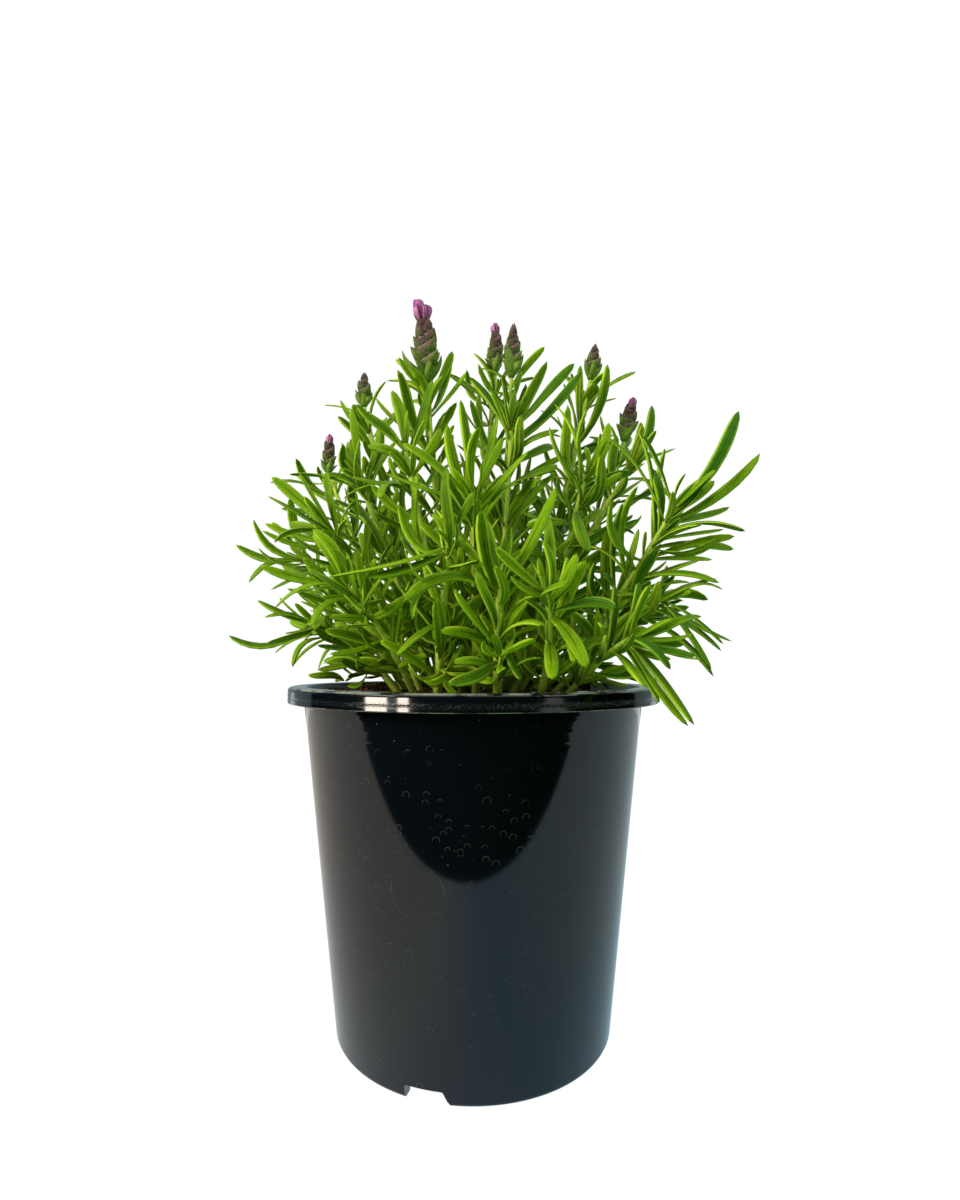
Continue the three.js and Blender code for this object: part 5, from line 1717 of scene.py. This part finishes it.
def petal_lobes(spike, opening, nod, draw):
    """Broad lobes that stand round each other like a half-open bud, and nod to one side."""
    foot = PETAL_ROOT[0] * spike.length
    nodding = np.array([*nod, 0.0])
    lobes = []
    for index, (turn, size, spread) in enumerate(PETAL_LOBES):
        long = (spike.petals + PETAL_HIDDEN * spike.length) * size
        root = spike.at(foot, PETAL_ROOT[1] * spike.radius, turn)
        bulge, top = (out * spike.petals * spread * opening for out in (PETAL_ELBOW[1], PETAL_TOP))
        elbow = spike.at(foot + PETAL_ELBOW[0] * long, bulge, turn) + nodding * PETAL_ELBOW_NOD
        tip = spike.at(foot + long, top, turn) + nodding
        side = np.cross(spike.out(turn), unit(tip - root))
        width = spike.petals * (PETAL_WIDTHS[0] + PETAL_WIDTHS[1] * opening)
        lobe = Leaf(root, elbow, tip, side, width, PETAL_THICKNESS, index / len(PETAL_LOBES))
        lobe.twist = draw(*PETAL_TWIST)
        lobes.append(lobe)
    return lobes


def corner(centre, radius, start, end, steps=5):
    """Points of a profile round a corner, from one angle to another."""
    turns = [math.radians(start + (end - start) * step / steps) for step in range(steps + 1)]
    return [(centre[0] + radius * math.cos(turn), centre[1] + radius * math.sin(turn)) for turn in turns]


def circle(radius, sides):
    """Places evenly round a circle."""
    turns = [2 * math.pi * side / sides for side in range(sides)]
    return [(radius * math.cos(turn), radius * math.sin(turn)) for turn in turns]


def turned_rings(profile, sides):
    return [[(x, y, z) for x, y in circle(radius, sides)] for radius, z in profile]


def held(profile):
    """A profile with a point near each end of its long straight runs, which keeps them flat when smoothed."""
    points = [profile[0]]
    for start, end in zip(profile, profile[1:]):
        run = np.subtract(end, start)
        if np.linalg.norm(run) > HELD_RUN:
            inset = unit(run) * HELD_INSET
            points += [tuple(start + inset), tuple(end - inset)]
        points.append(end)
    return points


def collar_radius(z):
    """The wall's outer radius, with the step and the ridges of the collar under the rim."""
    step = COLLAR_STEP * min(max((z - COLLAR_FOOT) / COLLAR_RISE, 0), 1)
    ridges = sum(RIDGE_RISE * math.exp(-((z - ridge) / (RIDGE_HEIGHT / 2)) ** 2) for ridge in COLLAR_RIDGES)
    return wall_radius(z) + step + ridges


def pot_profile():
    """Half of the pot's section, from the middle of its underside to the middle of its floor."""
    lid = POT_HEIGHT - LID
    inside = RIM_RADIUS - SKIRT_WALL
    ring = FOOT_RADIUS - FOOT_RING
    edge = EDGE_ROUND
    groove = RIM_RADIUS - RIM_SEAM_DEPTH
    wall = np.linspace(FOOT_ROUND, COLLAR_FOOT - 1, WALL_STEPS)
    collar = np.arange(COLLAR_FOOT - COLLAR_START, lid - COLLAR_PITCH, COLLAR_PITCH)
    inner = np.linspace(POT_HEIGHT - 2 * LIP_ROUND, FLOOR_TOP + FLOOR_ROUND, WALL_STEPS)
    floor_edge = (wall_radius(FLOOR_TOP) - WALL - FLOOR_ROUND, FLOOR_TOP + FLOOR_ROUND)
    top = wall_radius(POT_HEIGHT) - WALL
    return [
        *corner((BOSS_RADIUS - edge, edge), edge, -90, 0, 3),
        (BOSS_RADIUS, FLOOR_UNDERSIDE),
        (ring, FLOOR_UNDERSIDE),
        *corner((ring + edge, edge), edge, 180, 270, 3),
        *corner((FOOT_RADIUS - FOOT_ROUND, FOOT_ROUND), FOOT_ROUND, -90, 0, 7),
        *[(wall_radius(z), z) for z in wall],
        *[(collar_radius(z), z) for z in collar],
        (collar_radius(lid), lid),
        (inside, lid),
        *corner((inside + edge, SKIRT_FOOT + edge), edge, 180, 270, 3),
        *corner((RIM_RADIUS - edge, SKIRT_FOOT + edge), edge, -90, 0, 3),
        (RIM_RADIUS, RIM_SEAM - SEAM_SLOPE),
        (groove, RIM_SEAM - SEAM_FLAT),
        (groove, RIM_SEAM + SEAM_FLAT),
        (RIM_RADIUS, RIM_SEAM + SEAM_SLOPE),
        *corner((RIM_RADIUS - RIM_ROUND, POT_HEIGHT - RIM_ROUND), RIM_ROUND, 0, 90, 8),
        *corner((top + LIP_ROUND, POT_HEIGHT - LIP_ROUND), LIP_ROUND, 90, 180, 4),
        *[(wall_radius(z) - WALL, z) for z in inner],
        *corner(floor_edge, FLOOR_ROUND, 0, -90, 4),
    ]


def notch_outline():
    """The outline of a gap in the foot, as seen from outside: its place across and its height."""
    half = NOTCH_WIDTH / 2
    top = NOTCH_HEIGHT
    round_ = NOTCH_ROUND
    left = corner((-half + round_, top - round_), round_, 180, 90, 4)
    right = corner((half - NOTCH_SLANT - round_, top - round_), round_, 90, 20, 4)
    return [(-half, -top), *left, *right, (half + NOTCH_SLANT, -top)]


def notch_cutter(number):
    """A prism that cuts a gap into the foot, from within it to outside it."""
    turn = math.radians(FIRST_NOTCH + 360 * number / NOTCHES)
    outward = np.array([math.cos(turn), math.sin(turn), 0])
    sideways = np.array([-math.sin(turn), math.cos(turn), 0])
    outline = [sideways * x + np.array([0, 0, z]) for x, z in notch_outline()]
    rings = [[outward * reach + point for point in outline] for reach in NOTCH_REACH]
    ends = [outward * reach + np.array([0, 0, NOTCH_HEIGHT / 4]) for reach in NOTCH_REACH]
    name = f"notch_tool_{number}"
    return new_object(name, skin_mesh(name, rings, *ends))


def drain_cutter(number):
    """A rod that cuts a drainage hole through the floor."""
    turn = 2 * math.pi * (number + 0.5) / DRAIN_HOLES
    x, y = DRAIN_CIRCLE * math.cos(turn), DRAIN_CIRCLE * math.sin(turn)
    around = circle(DRAIN_RADIUS, DRAIN_SIDES)
    rings = [[np.array([x + over, y + along, z]) for over, along in around] for z in DRAIN_REACH]
    ends = [np.array([x, y, z]) for z in DRAIN_REACH]
    name = f"drain_tool_{number}"
    return new_object(name, skin_mesh(name, rings, *ends))


def make_pot(material):
    rings = turned_rings(held(pot_profile()), POT_SIDES)
    pot = new_object("nursery_pot", skin_mesh("nursery_pot", rings, (0, 0, 0), (0, 0, FLOOR_TOP)))
    tools = [notch_cutter(number) for number in range(NOTCHES)]
    tools += [drain_cutter(number) for number in range(DRAIN_HOLES)]
    for tool in tools:
        cut = pot.modifiers.new(tool.name, "BOOLEAN")
        cut.operation = "DIFFERENCE"
        cut.solver = "EXACT"
        cut.object = tool
    made = shape_of(pot, "nursery_pot")
    pot.modifiers.clear()
    pot.data = made
    for tool in tools:
        bpy.data.objects.remove(tool)
    made.set_sharp_from_angle(angle=math.radians(SHARP_EDGE))
    finished(pot, material, "pot", "pot")


def waves(table, x, y):
    """The mean of waves, each with its steps along x and y and its shift."""
    return sum(math.sin(along_x * x + along_y * y + shift) for along_x, along_y, shift in table) / len(table)


def soil_height(x, y):
    """The soil's height as its solid has it, with finer crumbs and a low heap behind, at the left."""
    share = math.hypot(x, y) / NECK_RADIUS
    heap = SOIL_HEAP * math.exp(-(math.dist((x, y), HEAP_PLACE) / HEAP_REACH) ** 2)
    crumbs = SOIL_CRUMB * waves(SOIL_WAVES, x, y) + FINE_CRUMB * waves(FINE_WAVES, x, y)
    return SOIL_TOP + SOIL_MOUND * (1 - share * share) + heap + crumbs


def make_soil(material, crumb_material, tree):
    """The soil from the floor to its rough top, and the loose crumbs on it."""
    foot = FLOOR_TOP + FIT_GAP
    foot_radius, top_radius = (wall_radius(z) - WALL - 2 * FIT_GAP for z in (foot, SOIL_TOP))
    rings = [[(x, y, foot) for x, y in circle(foot_radius, SOIL_SIDES)]]
    for step in range(SOIL_RING_COUNT):
        places = circle(top_radius * (1 - step / SOIL_RING_COUNT), SOIL_SIDES)
        rings.append([(x, y, soil_height(x, y)) for x, y in places])
    mesh = skin_mesh("soil_body", rings, (0, 0, foot), (0, 0, soil_height(0, 0)))
    tones = mesh.attributes.new("tone", "FLOAT", "POINT")
    tones.data.foreach_set("value", np.full(len(mesh.vertices), SOIL_TONE))
    finished(new_object("soil_body", mesh), material, "soil", "soil")
    values = {
        "Density": CRUMB_DENSITY, "Size": CRUMB_SIZE * MM, "Lowest": (SOIL_TOP - CRUMB_DEPTH) * MM,
        "Seed": CRUMB_SEED, "Skin": crumb_material,
    }
    finished(build("soil_crumbs_loose", tree, mesh.copy(), values), None, "soil")


def set_glow(nodes, shader, colour):
    """Makes a surface that shines in a colour and reflects nothing."""
    set_sockets(nodes, shader, {
        "Base Color": (0.0, 0.0, 0.0), "Roughness": 1.0, "Specular IOR Level": 0.0,
        "Emission Color": colour, "Emission Strength": 1.0,
    })


def glow_material(name, colour):
    material, nodes, shader = new_material(name)
    set_glow(nodes, shader, colour)
    return material


def floor_glow_material():
    """The mirrored floor: warm on the left and cooler on the right."""
    material, nodes, shader = new_material("mirrored_floor")
    x, _, _ = nodes.parts(nodes.wire("ShaderNodeTexCoord", None, None, "Object"))
    across = x * (0.5 / (ROOM_SPAN * MM)) + 0.5
    set_glow(nodes, shader, nodes.wire("ShaderNodeValToRGB", {"stops": ROOM_COLOURS}, {0: across}))
    return material


def make_stage():
    """A seamless white bowl for a floor and a backdrop."""
    profile = [(radius, 0) for radius in BOWL_RINGS]
    profile += corner((BOWL_RADIUS - BOWL_BEND, BOWL_BEND), BOWL_BEND, -90, 0, 16)
    profile += corner((BOWL_RADIUS - BOWL_BEND, BOWL_HEIGHT), BOWL_BEND, 0, 80, 12)
    top = (0, 0, BOWL_HEIGHT + BOWL_BEND)
    mesh = skin_mesh("studio_bowl", turned_rings(profile, BOWL_SIDES), (0, 0, 0), top)
    mesh.flip_normals()
    bowl = new_object("studio_bowl", mesh)
    material, nodes, shader = new_material("white_studio")
    set_sockets(nodes, shader, {
        "Base Color": (STAGE_WHITE,) * 3, "Roughness": 0.9, "Specular IOR Level": 0.0,
        "Emission Color": (1.0, 1.0, 1.0), "Emission Strength": STAGE_GLOW,
    })
    mesh.materials.append(material)
    bowl.visible_diffuse = False


def room_faces(floor, dark, dim):
    """The faces of the room, each with its skin: the floor in two parts, and walls, dark ones in front."""
    reach = ROOM_REACH
    edge = [(x, ROOM_EDGE + ROOM_SLANT * x, ROOM_LIFT) for x in (-reach, reach)]
    yield floor, [*edge, (reach, reach, ROOM_LIFT), (-reach, reach, ROOM_LIFT)]
    yield dark, [*edge, (reach, -reach, ROOM_LIFT), (-reach, -reach, ROOM_LIFT)]
    walls = [
        (dark, (-reach, -reach), (reach, -reach)), (dark, (-reach, -reach), (-reach, DARK_SIDE)),
        (dark, (reach, -reach), (reach, DARK_SIDE)), (dim, (-reach, DARK_SIDE), (-reach, reach)),
        (dim, (reach, DARK_SIDE), (reach, reach)), (dim, (-reach, reach), (reach, reach)),
    ]
    for skin, start, end in walls:
        yield skin, [(*start, 0), (*end, 0), (*end, ROOM_HEIGHT), (*start, ROOM_HEIGHT)]


def make_room():
    """The room that only the pot's gloss mirrors: a bright floor, dim walls, and dark in front."""
    skins = [floor_glow_material(), glow_material("mirrored_dark", (0.0, 0.0, 0.0))]
    skins.append(glow_material("mirrored_walls", ROOM_WALLS))
    faces = list(room_faces(*skins))
    points = [tuple(np.array(point) * MM) for _, face in faces for point in face]
    mesh = bpy.data.meshes.new("mirrored_room")
    mesh.from_pydata(points, [], [tuple(range(4 * index, 4 * index + 4)) for index in range(len(faces))])
    for skin in skins:
        mesh.materials.append(skin)
    for polygon, (skin, _) in zip(mesh.polygons, faces):
        polygon.material_index = skins.index(skin)
    room = new_object("mirrored_room", mesh)
    for ray in ("camera", "diffuse", "shadow", "transmission", "volume_scatter"):
        setattr(room, "visible_" + ray, False)


def area_light(name, place, aim, size, power, colour, gloss_only=False):
    """A soft light; place and aim in millimetres, size as (width, height)."""
    data = bpy.data.lights.new(name, "AREA")
    data.shape = "RECTANGLE"
    data.size, data.size_y = size[0] * MM, size[1] * MM
    data.energy = power
    data.color = colour
    light = new_object(name, data)
    light.location = np.array(place) * MM
    towards = Vector(np.array(aim, float) - np.array(place, float))
    light.rotation_mode = "QUATERNION"
    light.rotation_quaternion = towards.to_track_quat("-Z", "Y")
    light.visible_camera = False
    if gloss_only:
        light.visible_diffuse = False
        light.visible_transmission = False


def make_lights():
    """The air's light from above and below, the three lamps, and the panes that the rim mirrors."""
    world = bpy.data.worlds.new("studio_air")
    bpy.context.scene.world = world
    world.use_nodes = True
    nodes = Nodes(world.node_tree)
    _, _, height = nodes.parts(nodes.wire("ShaderNodeTexCoord", None, None, "Generated"))
    background = world.node_tree.nodes["Background"]
    air = nodes.mix(nodes.spread(height, -0.5, 0.7), AIR_BELOW, AIR_ABOVE)
    nodes.feed(background.inputs["Color"], air)
    for light in LIGHTS:
        area_light(*light)
    for name, direction, size, power in RIM_PANES:
        place = np.array(PANE_AIM) + unit(np.array(direction, float)) * PANE_DISTANCE
        area_light(name, place, PANE_AIM, size, power, PANE_COLOUR, True)


def make_camera():
    data = bpy.data.cameras.new("camera")
    data.sensor_width = SENSOR
    data.lens = SENSOR * FOCAL_PIXELS / FRAME_SIZE[1]
    data.shift_x = (FRAME_SIZE[0] / 2 - OPTICAL_CENTRE[0]) / FRAME_SIZE[1]
    data.shift_y = (OPTICAL_CENTRE[1] - FRAME_SIZE[1] / 2) / FRAME_SIZE[1]
    data.clip_start, data.clip_end = 0.01, 20
    camera = new_object("camera", data)
    camera.location = (0, -CAMERA_BACK * MM, CAMERA_HEIGHT * MM)
    camera.rotation_euler = (math.radians(90 + CAMERA_PITCH), 0, 0)
    bpy.context.scene.camera = camera


make_camera()
make_stage()
make_room()
make_lights()
bpy.context.scene.view_settings.view_transform = "Standard"

leaf_skin = leaf_material()
skins = {
    "bract": bract_material(), "petal": petal_material(), "wool": wool_material(),
    "core": plain_material("spike_core", tint("#6f8a22"), 0.8),
}
stem_skin = stem_material()
trees = {"shoot": shoot_tree(), "blades": blade_tree(), "wool": wool_tree(), "crumbs": crumb_tree()}

plants = grow_plants()
for plant in plants:
    make_shoot(plant, trees["shoot"], leaf_skin, stem_skin)
    if plant.spike:
        make_spike(plant, trees, skins)
make_pot(plastic_material())
soil_skin = soil_material("potting_soil", tint("#17100b"), tint("#3a281b"), 0.8)
crumb_skin = soil_material("soil_crumbs", tint("#1d130d"), tint("#6b4227"), 0.9)
make_soil(soil_skin, crumb_skin, trees["crumbs"])
